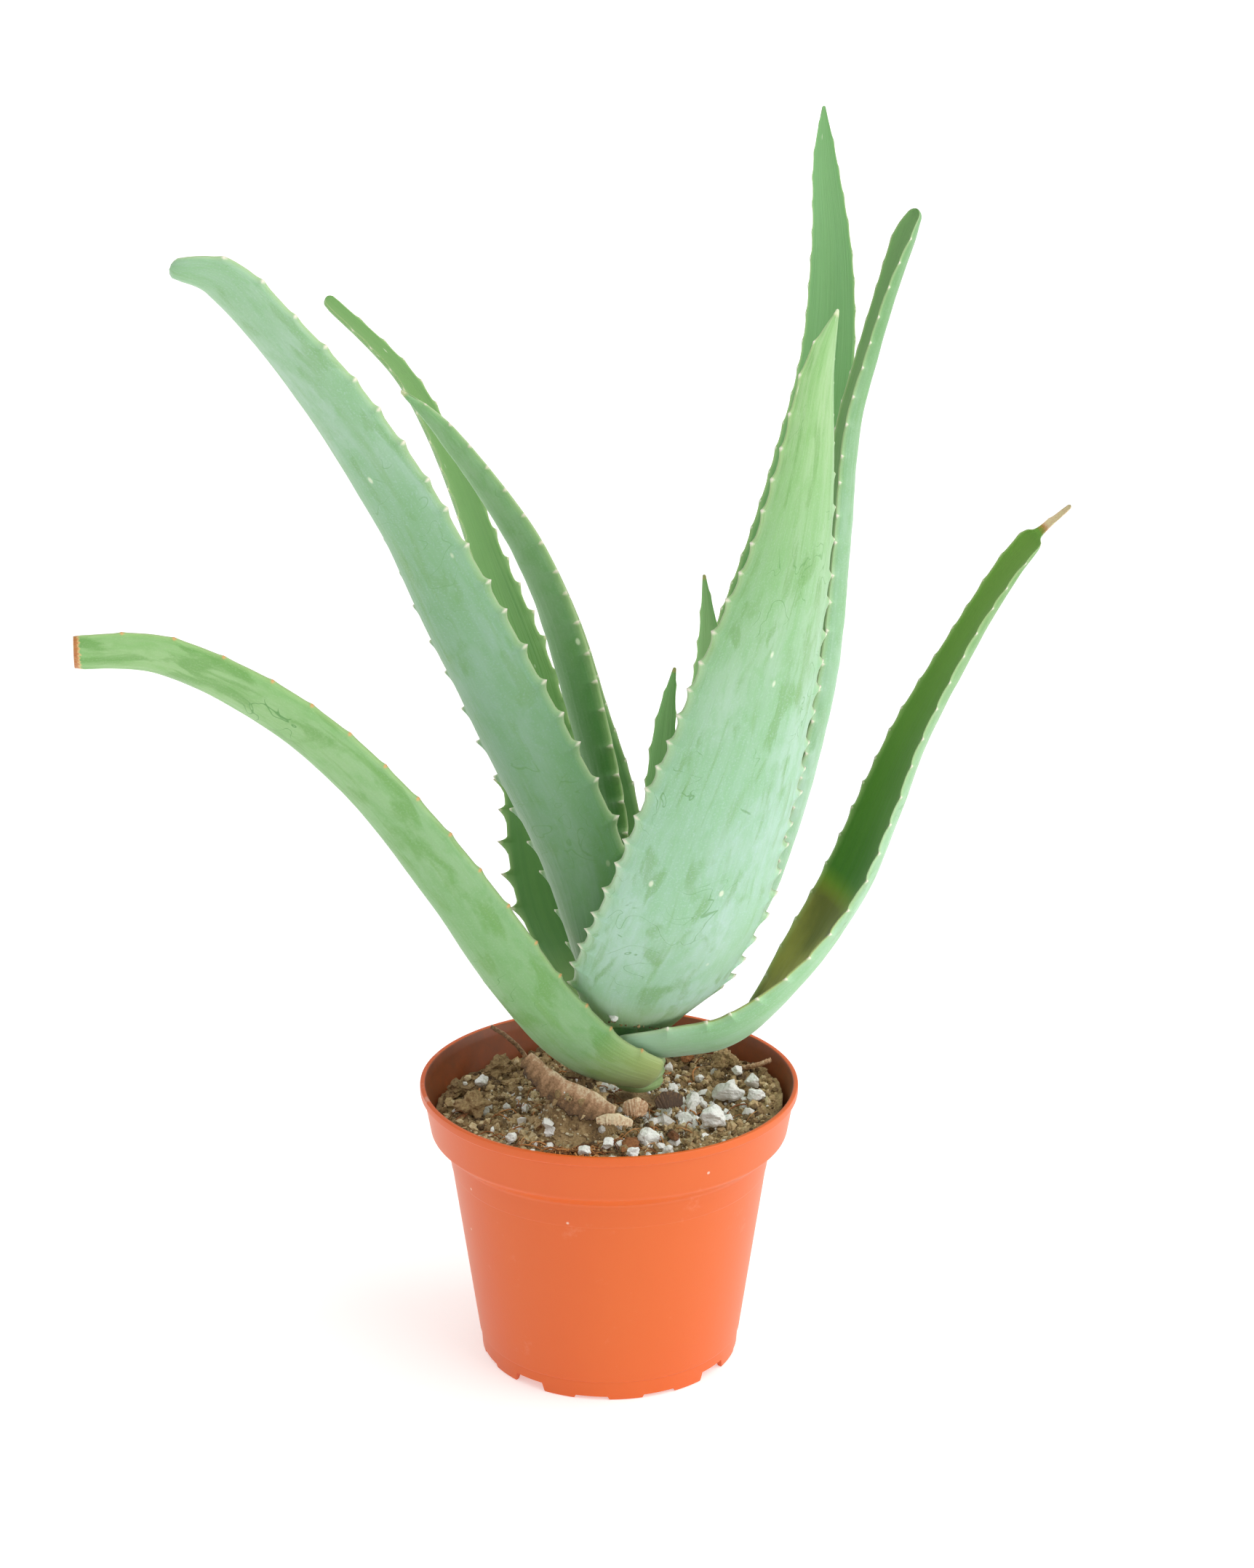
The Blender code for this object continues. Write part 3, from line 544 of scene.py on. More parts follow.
def tooth_row(length, first, rand, pitch, size):
    """Place and height of every tooth on one edge."""
    teeth = []
    s = first
    while s < length - 4.0:
        share = s / length
        high = size * (1.2 - 0.95 * share) * rand.uniform(0.8, 1.15)
        teeth.append((s + rand.uniform(-0.9, 0.9), high))
        s += pitch * (1.0 - 0.2 * share) * rand.uniform(0.92, 1.08)
    return teeth


def spike(s, teeth):
    """How far the edge stands out at s because of the nearest tooth, and the tooth's own
    share from 0 at its foot to 1 at its point."""
    out, share = 0.0, 0.0
    for spot, high in teeth:
        d = s - spot
        reach = TOOTH_BACK if d < 0 else TOOTH_FRONT
        if abs(d) < reach:
            rise = (1 - abs(d) / reach) ** 1.9
            if high * rise > out:
                out, share = high * rise, rise
    return out, share


def aloe_leaf(name, pitch):
    """One finished leaf: channelled upper face, rounded belly, toothed edges and its tip."""
    leaf, look = LEAVES[name], LEAF_LOOKS[name]
    rand = Random(name)
    seed = rand.uniform(0, 400)
    length, at = leaf_axis(leaf)
    row_pitch = pitch * look["spacing"]
    edges = [tooth_row(length, FIRST_TOOTH + STAGGER * k + rand.uniform(-1.5, 1.5), rand,
                       row_pitch, TOOTH_HEIGHT * look["teeth"]) for k in (0, 1)]
    slices = int(length / SLICE_GAP)
    cuts = {round(length * k / slices, 2) for k in range(slices + 1)}
    for spot, _ in edges[0] + edges[1]:
        cuts |= {round(spot + d, 2) for d in TOOTH_SLICES}
    kept = []
    for s in sorted(cuts):
        if 0 <= s <= length and (not kept or s - kept[-1] > CLOSEST_SLICES):
            kept.append(s)
    cross = [cos(pi * i / INNER_STEPS) for i in range(INNER_STEPS + 1)]
    cross += [-cos(pi * j / BELLY_STEPS) for j in range(1, BELLY_STEPS)]
    broad = max(row[3] for row in leaf["stations"])
    blunt = "cut" in look
    deep = BASE_DEPTH * leaf["stations"][0][3]
    rings = [(0.0, shrink, share * deep) for shrink, share in BASE_ROUNDING]
    rings += [(s, 1.0, 0.0) for s in kept]
    if blunt:
        rings += [(length, shrink, lift) for shrink, lift in CUT_ROUNDING]
    else:
        end = min(1.0, leaf["stations"][-1][3] / 3)
        rings += [(length, shrink, lift * end) for shrink, lift in TIP_ROUNDING]
    points, plane = [], []
    masks = {key: [] for key in LEAF_MASKS}
    for s, shrink, lift in rings:
        centre, ahead, side, face, half = at(s)
        half *= (1 + 0.03 * noise.noise(Vector((s * 0.045, seed, 0)))) * shrink
        centre = centre + ahead * lift
        dry = smooth_step(length - 1.5 * look["dry_end"], length - 0.5 * look["dry_end"], s)
        if look["dry_end"] < GREEN_TIP:
            dry = 0.0
        wither = dry * (0.0 if blunt else 0.5)
        torn = blunt and s == length and shrink < 1.0
        for i, x in enumerate(cross):
            on_top = i <= INNER_STEPS
            bow = max(1 - x * x, 0.0)
            if on_top:
                z = -leaf["channel"] * half * bow
            else:
                z = -leaf["belly"] * half * (1 - abs(x) ** 2.2) ** 0.75
            dent = 0.45 * noise.noise(Vector((s * 0.028, x * 1.3 + (4 if on_top else 0), seed)))
            dent += 0.16 * noise.noise(Vector((s * 0.14, x * 3.1, seed + 9)))
            dent += wither * noise.noise(Vector((s * 0.5, x * 4.0, seed + 20)))
            z += dent * bow * min(half / 8, 1.2)
            out, share = spike(s, edges[0] if x > 0 else edges[1])
            out *= min(half / 4.5, 1.0) * shrink
            close = smooth_step(0.83, 1.0, abs(x))
            sign = 1 if x > 0 else -1
            push = out * close ** 2 - 0.3 * (1 - share) * close
            wide = x * half + sign * push
            points.append(centre + side * wide + face * z + ahead * (LEAN * out * close ** 2))
            edge = 1.0 if abs(x) > 0.999 else (0.45 if abs(x) > 0.96 else 0.0)
            masks["upper"].append(1.0 if on_top and abs(x) < 0.999 else 0.0)
            masks["margin"].append(edge)
            masks["tooth"].append(share * close ** 2)
            masks["dry"].append(1.0 if torn else dry)
            masks["share"].append(s / length)
            rot = 0.0
            if "rot" in look and on_top:
                low, high = look["rot"]
                rot = smooth_step(low, low + 18, s) * (1 - smooth_step(high - 30, high, s))
            masks["rot"].append(rot)
        for i, x in enumerate(cross):
            round_belly = 1.3 * (2 * (i - INNER_STEPS) / BELLY_STEPS - 1)
            across = x if i < INNER_STEPS else round_belly
            plane.append((s + seed, across * broad + (90.0 if i < INNER_STEPS else 0.0), seed))
    body = new_object(name + "_skin", points, skin_faces(len(rings), len(cross)),
                      waxed_leaf_skin("aloe_" + name, look, broad),
                      dict(masks, leaf_plane=plane))
    return place(body, "leaf_flesh", name)


# ---- pot --------------------------------------------------------------------------------
POT_SIDES = 192
BAND_RADIUS, BAND_FOOT_RADIUS, BAND_HEIGHT, LIP_HEIGHT = 63.8, 61.6, 17.0, 3.2
BODY_TOP_RADIUS, BODY_FOOT_RADIUS = 56.0, 45.0
WALL, FLOOR_HEIGHT, FOOT_DEPTH = 1.5, 6.0, 3.6
NOTCH_PITCH, NOTCH_START, NOTCH_WIDTH, NOTCH_LOW, NOTCH_HIGH = 30.0, -97.5, 11.0, 1.3, 3.3
HOLE_RADIUS, HOLE_RING, HOLE_COUNT = 4.0, 27.0, 6


def rounded(corners, radius, steps=3):
    """A closed outline of (r, z) with every corner turned by a small arc."""
    made = []
    for k, corner in enumerate(corners):
        here = Vector(corner)
        before, after = Vector(corners[k - 1]), Vector(corners[(k + 1) % len(corners)])
        reach = min(radius, 0.4 * (before - here).length, 0.4 * (after - here).length)
        start = here + (before - here).normalized() * reach
        end = here + (after - here).normalized() * reach
        for i in range(steps + 1):
            t = i / steps
            made.append(start * (1 - t) ** 2 + here * 2 * t * (1 - t) + end * t * t)
    return made


def pot_outline():
    """Half section of the pot, down the outside and back up the inside."""
    band_foot = POT_HEIGHT - BAND_HEIGHT
    lip_foot = POT_HEIGHT - LIP_HEIGHT
    slope = (BODY_TOP_RADIUS - BODY_FOOT_RADIUS - 0.9) / (band_foot - 12.0)
    return [(RIM_RADIUS, POT_HEIGHT), (RIM_RADIUS, lip_foot + 0.2),
            (BAND_RADIUS, lip_foot - 0.2), (BAND_FOOT_RADIUS, band_foot + 0.4),
            (BAND_FOOT_RADIUS - 0.9, band_foot - 0.6), (BODY_TOP_RADIUS + 0.5, band_foot - 4.0),
            (BODY_TOP_RADIUS, band_foot - 5.0),
            (BODY_TOP_RADIUS - 2.2 * slope * 4, band_foot - 13.0),
            (BODY_TOP_RADIUS - 2.2 * slope * 4 - 0.18, band_foot - 13.3),
            (BODY_FOOT_RADIUS + 0.95, 7.3), (BODY_FOOT_RADIUS + 0.5, 6.9),
            (BODY_FOOT_RADIUS, 0.0), (BODY_FOOT_RADIUS - 1.8, 0.0),
            (BODY_FOOT_RADIUS - 1.9, FOOT_DEPTH - 0.2), (HOLE_RADIUS, FOOT_DEPTH),
            (HOLE_RADIUS, FLOOR_HEIGHT), (BODY_FOOT_RADIUS - 2.8, FLOOR_HEIGHT),
            (BODY_FOOT_RADIUS - 0.9, FLOOR_HEIGHT + 2.0),
            (BODY_TOP_RADIUS - WALL, band_foot - 4.4),
            (BAND_FOOT_RADIUS - WALL - 0.5, band_foot - 0.2),
            (BAND_RADIUS - WALL, lip_foot), (RIM_RADIUS - 1.7, POT_HEIGHT)]


def flex(bearing, z):
    """How far a thin moulded wall stands out of round, in millimetres."""
    lift = z / POT_HEIGHT
    return lift ** 2 * (0.35 * cos(2 * bearing + 0.6) + 0.12 * sin(5 * bearing))


def foot_cutter():
    """The notches round the foot and the drain holes in the floor, as one cutter."""
    bm = bmesh.new()
    for k in range(round(360 / NOTCH_PITCH)):
        spin = Matrix.Rotation(radians(NOTCH_START + k * NOTCH_PITCH), 4, "Z")
        high = NOTCH_HIGH if k % 3 == 2 else NOTCH_LOW
        half = 0.5 * NOTCH_WIDTH
        ends = [[bm.verts.new(spin @ Vector((r, y, z))) for y, z in
                 ((-half - 1.2, -1.0), (half + 1.2, -1.0), (half, high), (-half, high))]
                for r in (BODY_FOOT_RADIUS - 5, BODY_FOOT_RADIUS + 5)]
        for i in range(4):
            j = (i + 1) % 4
            bm.faces.new((ends[0][i], ends[0][j], ends[1][j], ends[1][i]))
        bm.faces.new(ends[0])
        bm.faces.new(ends[1])
    for k in range(HOLE_COUNT):
        bearing = 2 * pi * k / HOLE_COUNT
        spot = Matrix.Translation((HOLE_RING * cos(bearing), HOLE_RING * sin(bearing), 4.5))
        bmesh.ops.create_cone(bm, cap_ends=True, segments=40, radius1=HOLE_RADIUS,
                              radius2=HOLE_RADIUS, depth=8.0, matrix=spot)
    bmesh.ops.recalc_face_normals(bm, faces=bm.faces)
    for vert in bm.verts:
        vert.co = vert.co * MM + AXIS
    mesh = bpy.data.meshes.new("foot_cutter")
    bm.to_mesh(mesh)
    bm.free()
    cutter = bpy.data.objects.new("foot_cutter", mesh)
    bpy.context.scene.collection.objects.link(cutter)
    return cutter


def nursery_pot(mat, round_off):
    """The turned body with its rolled lip, then the notches and drain holes cut away."""
    outline = rounded(pot_outline(), round_off)
    points, worn, inside = [], [], []
    for k in range(POT_SIDES):
        bearing = 2 * pi * k / POT_SIDES
        for i, (r, z) in enumerate(outline):
            inside.append(float(i > 0.7 * len(outline) and r < RIM_RADIUS - 1.5))
            wide = r + flex(bearing, z)
            points.append((wide * cos(bearing), wide * sin(bearing), z))
            lip = smooth_step(POT_HEIGHT - 4.5, POT_HEIGHT - 0.5, z) * (r > BAND_RADIUS - 0.5)
            side = max(0.0, cos(bearing - radians(205)))
            patch = 0.6 + 0.8 * noise.noise(Vector((4 * cos(bearing), 4 * sin(bearing), 3)))
            worn.append(lip * (0.35 + 0.65 * side ** 3) * max(patch, 0.0))
    size = len(outline)
    faces = []
    for k in range(POT_SIDES):
        n = (k + 1) % POT_SIDES
        for i in range(size):
            j = (i + 1) % size
            faces.append((k * size + i, k * size + j, n * size + j, n * size + i))
    pot = new_object("pot_shell", points, faces, mat, {"worn": worn, "inside": inside})
    cutter = foot_cutter()
    mod = pot.modifiers.new("foot", "BOOLEAN")
    mod.operation = "DIFFERENCE"
    mod.solver = "EXACT"
    mod.object = cutter
    graph = bpy.context.evaluated_depsgraph_get()
    cut = bpy.data.meshes.new_from_object(pot.evaluated_get(graph))
    pot.modifiers.clear()
    pot.data = cut
    bpy.data.objects.remove(cutter, do_unlink=True)
    if len(cut.polygons) in (0, len(faces)):
        raise RuntimeError("the notches and holes were not cut into the pot")
    cut.materials.clear()
    cut.materials.append(mat)
    cut.polygons.foreach_set("use_smooth", [True] * len(cut.polygons))
    cut.set_sharp_from_angle(angle=radians(32))
    return place(pot, "pot_plastic", "pot")


# ---- peat, crumbs and dry scraps --------------------------------------------------------
PEAT_REACH = 58.0           # loose bits stay this near to the axis, clear of the wall
STEM_SPOT, STEM_CLEAR = (10, -2), 10
COLLAR_SPOT, COLLAR_HEIGHT = (-11, -21), 15.0       # of peat round the old root collar
COLLAR_TOP, COLLAR_FOOT, COLLAR_CLEAR = 6.0, 17.0, 19.0
SKIRT_WIDTH = 4.0           # a dry scrap wider than this hangs like a skirt
FIBRE_COUNT, FLAKE_COUNT, CREASE_CRUMBS = 430, 60, 34


def soil_height(x, y):
    """Level of the peat: higher in front and at the right, mounded round the stem."""
    mound = 6.5 * max(0.0, 1 - hypot(x - 4, y + 6) / 30) ** 1.3
    ripple = 0.9 * sin(0.21 * x + 1.0) * cos(0.17 * y) + 0.5 * sin(0.43 * x - 0.37 * y)
    heap = 5.0 * smooth_step(20, 58, x)
    return 89.0 - 0.035 * y + mound + ripple + heap


def from_collar(x, y):
    """Distance from the middle of the root collar, which is a little narrower in depth."""
    return hypot(x - COLLAR_SPOT[0], 1.15 * (y - COLLAR_SPOT[1]))


def peat_level(x, y):
    """The same level with the lumps and hollows of loose peat, packed round the old root
    collar in front of the stem."""
    coarse = noise.noise(Vector((x * 0.11, y * 0.11, 2.0)))
    middle = noise.noise(Vector((x * 0.33, y * 0.33, 7.0)))
    fine = noise.noise(Vector((x * 0.9, y * 0.9, 11.0)))
    collar = COLLAR_HEIGHT * smooth_step(COLLAR_FOOT, COLLAR_TOP, from_collar(x, y))
    return (soil_height(x, y) - 0.5 + collar * (1 + 0.3 * coarse)
            + 1.4 * coarse + 0.9 * middle + 0.45 * fine)


def peat_bed(mat):
    """The top of the peat as one uneven skin, turned down out of sight at the wall."""
    rings, around = 84, 300
    reach = BAND_FOOT_RADIUS - WALL - 0.1
    points, tones = [], []
    for r in range(rings):
        radius = reach * (r + 0.02) / (rings - 1)
        for k in range(around):
            bearing = 2 * pi * k / around
            x, y = radius * cos(bearing), radius * sin(bearing)
            points.append((x, y, peat_level(x, y)))
            tones.append(0.36 + 0.4 * noise.noise(Vector((x * 0.16, y * 0.16, 30))))
    for k in range(around):
        bearing = 2 * pi * k / around
        points.append((reach * cos(bearing), reach * sin(bearing), 84.0))
        tones.append(0.2)
    faces = skin_faces(rings + 1, around, closed_ends=False)
    faces.append(tuple(reversed(range(around))))
    bed = new_object("peat_bed", points, faces, mat, {"tone": tones})
    return place(bed, "peat", "soil")


def chunk(rand, size, rough, turn=None, finer=1, cuts=8):
    """Points and faces of one angular crumb: a sphere knocked about and cut by flats."""
    bm = bmesh.new()
    bmesh.ops.create_icosphere(bm, subdivisions=finer, radius=0.5)
    flats = [(Vector((rand.uniform(-1, 1), rand.uniform(-1, 1), rand.uniform(-1, 1))
                     ).normalized(), rand.uniform(0.27, 0.42)) for _ in range(cuts)]
    seed = rand.uniform(0, 900)
    spin = (turn or Euler([rand.uniform(0, 2 * pi) for _ in range(3)])).to_matrix()
    points = []
    for vert in bm.verts:
        co = vert.co.copy()
        for normal, reach in flats:
            over = co.dot(normal) - reach
            if over > 0:
                co -= normal * over * 0.9
        co *= 1 + rough * noise.noise(co * 3.2 + Vector((seed, 0, 0)))
        co *= 1 + 0.45 * rough * noise.noise(co * 9.0 + Vector((0, seed, 0)))
        points.append(spin @ Vector(c * s for c, s in zip(co, size)))
    faces = [tuple(v.index for v in face.verts) for face in bm.faces]
    bm.free()
    return points, faces


class Heap:
    """Gathers many small bits into one mesh, each with a tone of its own."""

    def __init__(self):
        self.points, self.faces, self.tones = [], [], []

    def drop(self, part, spot, tone):
        points, faces = part
        start = len(self.points)
        self.points += [p + Vector(spot) for p in points]
        self.faces += [tuple(start + i for i in face) for face in faces]
        self.tones += [tone] * len(points)

    def thread(self, path, radius, tone, sides=6):
        """A round fibre along a list of points."""
        start = len(self.points)
        for k, here in enumerate(path):
            here = Vector(here)
            ahead = (Vector(path[min(k + 1, len(path) - 1)])
                     - Vector(path[max(k - 1, 0)])).normalized()
            side = ahead.orthogonal().normalized()
            other = ahead.cross(side)
            thick = radius * (1 - 0.5 * abs(2 * k / (len(path) - 1) - 1) ** 2)
            self.points += [here + (side * cos(a) + other * sin(a)) * thick
                            for a in (2 * pi * i / sides for i in range(sides))]
        self.faces += [tuple(start + i for i in face)
                       for face in skin_faces(len(path), sides)]
        self.tones += [tone] * (len(path) * sides)

    def build(self, name, mat, smooth=False):
        return new_object(name, self.points, self.faces, mat, {"tone": self.tones}, smooth)


def spread(rand, centre=(0, 0), pull=0.0):
    """A random spot on the peat; pull draws it towards the centre given."""
    while True:
        r, a = PEAT_REACH * rand.random() ** 0.5, rand.uniform(0, 2 * pi)
        x, y = r * cos(a), r * sin(a)
        x, y = x + (centre[0] - x) * pull, y + (centre[1] - y) * pull
        off_stem = hypot(x - STEM_SPOT[0], y - STEM_SPOT[1])
        if hypot(x, y) < PEAT_REACH and off_stem > STEM_CLEAR:
            return x, y


def scatter(rand, heap, count, spot_of, size_of, squash, rough, sink, tones):
    """Drop grains on the peat; sink is how far each stands clear as a share of its size."""
    for _ in range(count):
        x, y = spot_of()
        size = size_of()
        shape = [size * rand.uniform(*squash) for _ in range(3)]
        grain = chunk(rand, shape, rough)
        heap.drop(grain, (x, y, peat_level(x, y) + sink * size), rand.uniform(*tones))


# length, width and height of the crumbs that are packed as solids; their places come from
# the solids
PERLITE = ((10, 8, 7), (9, 8, 7), (7, 6, 6), (7, 5, 5), (5, 4, 4), (6, 5, 5), (6, 5, 5),
           (5, 4, 4), (5, 4, 4), (4, 4, 4), (5, 4, 4), (5, 4, 4), (4, 4, 4), (4, 4, 4),
           (5, 4, 4), (6, 5, 5))
BARK = ((9, 5, 3), (7, 4, 3), (10, 5, 3), (8, 5, 3))
CLUMPS = ((11, 10, 7), (9, 8, 6), (10, 8, 6), (9, 8, 6))
SPREAD_OUT, SUNK = 1.12, 0.7    # a finished crumb against its solid: wider, and set lower
# middle line of each scrap, its half width, its thickness, which way its face looks, and
# its tone from 0, dark, to 1, pale
STRIPS = {
    "sheath_dry": (((-28, -15, 114), (-22, -21, 108.5), (-14, -26.5, 105), (-5, -30.5, 102.5),
                    (2, -32.5, 101)), 5.0, 0.3, (-0.3, -0.75, 0.5), 0.85),
    "sheath_scale": (((-4, -34, 99), (2, -35, 100), (8, -34, 98)), 2.0, 0.6,
                     (0, -0.9, 0.6), 1.0),
    "husk_left": (((5, -27, 100), (9, -27.5, 101), (13, -26, 99.5)), 3.2, 0.6,
                  (0.1, -1, 0.4), 0.8),
    "husk_right": (((16, -22, 99.5), (20, -20, 100.5), (25, -17, 99)), 3.0, 0.6,
                   (0.5, -1, 0.6), 0.05),
    "twig_left": (((-42, 31, 106), (-36, 26, 104), (-31, 23, 100), (-28, 19, 95.5)),
                  1.0, 1.4, (0, 0.3, 1), 0.55),
    "twig_right": (((57, 20, 98), (52, 19, 96.5), (45, 22, 93.5)), 1.2, 1.6,
                   (0, 0.3, 1), 0.65),
}


# height, radius, x and y of the stem
STEM = ((98.5, 8.0, 10, -2), (104, 9.0, 10, -2), (110, 9.0, 10, -1), (117, 8.0, 10, 1),
        (124, 6.5, 9, 3), (130, 4.0, 9, 3))


def large_crumbs(name, table, mat, slot, rough, tones):
    """The crumbs big enough to be packed as solids, each standing for its own solid."""
    for k, size in enumerate(table):
        node = "%s_%02d" % (name, k + 1)
        low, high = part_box(node)
        middle = (Vector((low + high) / 2) - AXIS) / MM
        rand = Random(97 * len(name) + k)
        turn = Euler((rand.uniform(-0.2, 0.2), rand.uniform(-0.2, 0.2), rand.uniform(0, pi)))
        heap = Heap()
        part = chunk(rand, [s * SPREAD_OUT for s in size], rough, turn, 4, 14)
        heap.drop(part, middle - Vector((0, 0, SUNK)), rand.uniform(*tones))
        place(heap.build(node + "_skin", mat), slot, node)


def dry_strip(name, mat):
    """A thin dry scrap, veined across, its lower edge frayed and darkened with painted shade.
    """
    path, wide, thick, up, tone = STRIPS[name]
    rand = Random(name)
    seed = rand.uniform(0, 90)
    count, across = 60, 18
    # painted shade along the lower edge, deepest on a wide scrap that hangs like a skirt
    edge_shade = 0.35 if wide > SKIRT_WIDTH else 0.1
    points, tones = [], []
    last = len(path) - 1
    for k in range(count + 1):
        u = last * k / count
        here = Vector(along(path, u))
        ahead = (Vector(along(path, min(u + 0.1, last)))
                 - Vector(along(path, max(u - 0.1, 0)))).normalized()
        face = (Vector(up) - ahead * ahead.dot(Vector(up))).normalized()
        side = ahead.cross(face)
        half = wide * (0.3 + 0.7 * sin(pi * (0.08 + 0.84 * k / count)))
        half *= 1 + 0.2 * noise.noise(Vector((k * 0.1, seed, 0)))
        fray = 0.4 * noise.noise(Vector((k * 0.5, seed, 5)))
        for i in range(across):
            a = 2 * pi * i / across
            x = cos(a)
            x *= 1 + fray * smooth_step(0.2, 1.0, x)
            curl = 0.2 * x * x + 0.25 * noise.noise(Vector((k * 0.3, x * 0.5, seed)))
            z = 0.55 * thick * sin(a) + curl
            points.append(here + side * x * half + face * z)
            vein = noise.noise(Vector((k * 0.45, x * 1.5, seed)))
            tones.append(tone + 0.3 * vein - edge_shade * (1 + x))
    strip = new_object(name + "_skin", points, skin_faces(count + 1, across), mat,
                       {"tone": tones})
    return place(strip, "dry_husk", name)


def stem_skin(mat):
    """The short green stem, ringed by the scars of leaves that have gone."""
    rings, around = 70, 48
    points, tones = [], []
    for k in range(rings):
        z, radius, x, y = along(STEM, (len(STEM) - 1) * k / (rings - 1))
        radius += 0.35 * sin(1.9 * z) ** 3
        for i in range(around):
            a = 2 * pi * i / around
            bump = 0.5 * noise.noise(Vector((cos(a) * 2, sin(a) * 2, z * 0.25)))
            points.append((x + (radius + bump) * cos(a), y + (radius + bump) * sin(a), z))
            tones.append(0.45 + 0.4 * noise.noise(Vector((cos(a), sin(a), z * 0.3))))
    skin = new_object("stem_skin", points, skin_faces(rings, around), mat, {"tone": tones})
    return place(skin, "leaf_flesh", "stem")


def peat_litter(mats, count, fine_count):
    """Loose bits on the peat: crumbs, fine perlite, sand, bark flakes and coir fibres."""
    rand = Random(4107)
    crumbs, white, sand, fibre = Heap(), Heap(), Heap(), Heap()
    scatter(rand, crumbs, count, lambda: spread(rand),
            lambda: 0.8 + 3.4 * rand.random() ** 3.2, (0.7, 1.25), 0.55, 0.12, (0.05, 0.85))
    scatter(rand, white, fine_count,
            lambda: spread(rand, (30, -16), pull=rand.random() ** 1.5),
            lambda: 0.8 + 4.4 * rand.random() ** 2.4, (0.75, 1.2), 0.4, 0.22, (0.25, 1.0))
    scatter(rand, sand, fine_count * 4,
            lambda: spread(rand, (0, -35), pull=0.5 * rand.random()),
            lambda: rand.uniform(0.3, 0.8) + 1.2 * rand.random() ** 4, (0.7, 1.3), 0.2, 0.3,
            (0, 1))
    for _ in range(FIBRE_COUNT):
        x, y = spread(rand, (-12, -44), pull=rand.random() ** 0.6)
        bearing, long = rand.uniform(0, 2 * pi), rand.uniform(3, 13)
        bend, lift = rand.uniform(-0.3, 0.3), rand.uniform(0.5, 2.8)
        if from_collar(x, y) < COLLAR_CLEAR:
            continue
        path = []
        for k in range(9):
            path.append((x, y, peat_level(x, y) + 0.2 + lift * sin(pi * k / 8)))
            x += cos(bearing) * long / 8
            y += sin(bearing) * long / 8
            bearing += bend
            if hypot(x, y) > PEAT_REACH or from_collar(x, y) < COLLAR_FOOT:
                break
        if len(path) > 3:
            fibre.thread(path, rand.uniform(0.12, 0.34), rand.uniform(0.1, 0.95))
    for _ in range(FLAKE_COUNT):
        x, y = spread(rand, (-25, 10), pull=0.3 * rand.random())
        long = rand.uniform(2.5, 7)
        shape = (long, long * rand.uniform(0.2, 0.45), rand.uniform(0.4, 1.0))
        turn = Euler((rand.uniform(-0.4, 0.4), rand.uniform(-0.4, 0.4), rand.uniform(0, pi)))
        fibre.drop(chunk(rand, shape, 0.3, turn, 2), (x, y, peat_level(x, y) + 0.7),
                   rand.uniform(0.0, 0.6))
    # peat caught in the crease above the lowest leaf, and one perlite grain
    for _ in range(CREASE_CRUMBS):
        t = rand.random()
        spot = (-2 + 24 * t + rand.uniform(-1.5, 1.5), -18.5 + 4 * t + rand.uniform(-1, 1),
                129 - 6 * t + rand.uniform(-1, 0.6))
        size = 0.6 + 1.3 * rand.random() ** 2
        crumbs.drop(chunk(rand, (size, size, size), 0.55), spot, rand.uniform(0.1, 0.8))
    white.drop(chunk(rand, (4, 4, 4), 0.3, None, 3), (2, -21.5, 131.5), 0.8)
    place(crumbs.build("peat_crumbs", mats["peat"]), "peat")
    place(white.build("perlite_fines", mats["perlite"]), "perlite")
    place(sand.build("sand_grains", mats["sand"]), "peat")
    place(fibre.build("coir_and_bark", mats["husk"], True), "dry_husk")


# ---- settings a grower would change -----------------------------------------------------
def colour_setting(name, description, code):
    return FloatVectorProperty(name=name, description=description, subtype="COLOR", size=4,
                               min=0.0, max=1.0, default=linear(code))


class AloePlantSettings(bpy.types.PropertyGroup):
    tooth_pitch: FloatProperty(
        name="Tooth pitch", description="Distance from tooth to tooth along a leaf edge",
        default=TOOTH_PITCH * MM, min=0.004, max=0.03, unit="LENGTH", subtype="DISTANCE")
    stem_colour: colour_setting("Stem", "Colour of the bare stem", "#A9C888")


class AloePotSettings(bpy.types.PropertyGroup):
    edge_radius: FloatProperty(
        name="Edge rounding", description="Radius of the pot's moulded edges",
        default=0.0006, min=0.0001, max=0.0012, unit="LENGTH", subtype="DISTANCE")
    colour: colour_setting("Plastic", "Colour of the moulded pot", "#D6540A")
    pale_colour: colour_setting("Pale plastic", "Colour of its paler flow marks", "#E06A22")


class AloePeatSettings(bpy.types.PropertyGroup):
    crumbs: IntProperty(
        name="Peat crumbs", description="Number of loose peat crumbs on the surface",
        default=4200, min=0, max=12000)
    fines: IntProperty(
        name="Perlite fines", description="Number of small perlite grains on the surface",
        default=560, min=0, max=2000)


class AloeStageSettings(bpy.types.PropertyGroup):
    floor_colour: colour_setting("Floor", "Colour of the plain floor", "#E6E6E4")
    floor_width: FloatProperty(
        name="Floor width", description="Side of the square floor", default=24.0, min=4.0,
        max=60.0, unit="LENGTH", subtype="DISTANCE")


def hex_of(colour):
    """The sRGB hex code of a linear colour setting."""
    parts = [c * 12.92 if c <= 0.0031308 else 1.055 * c ** (1 / 2.4) - 0.055
             for c in list(colour)[:3]]
    return "#" + "".join("%02X" % round(255 * min(max(p, 0.0), 1.0)) for p in parts)


# ---- operators, one for each group of pieces --------------------------------------------
FLOOR_GLOW, STUDIO_GLOW = 0.42, 0.55
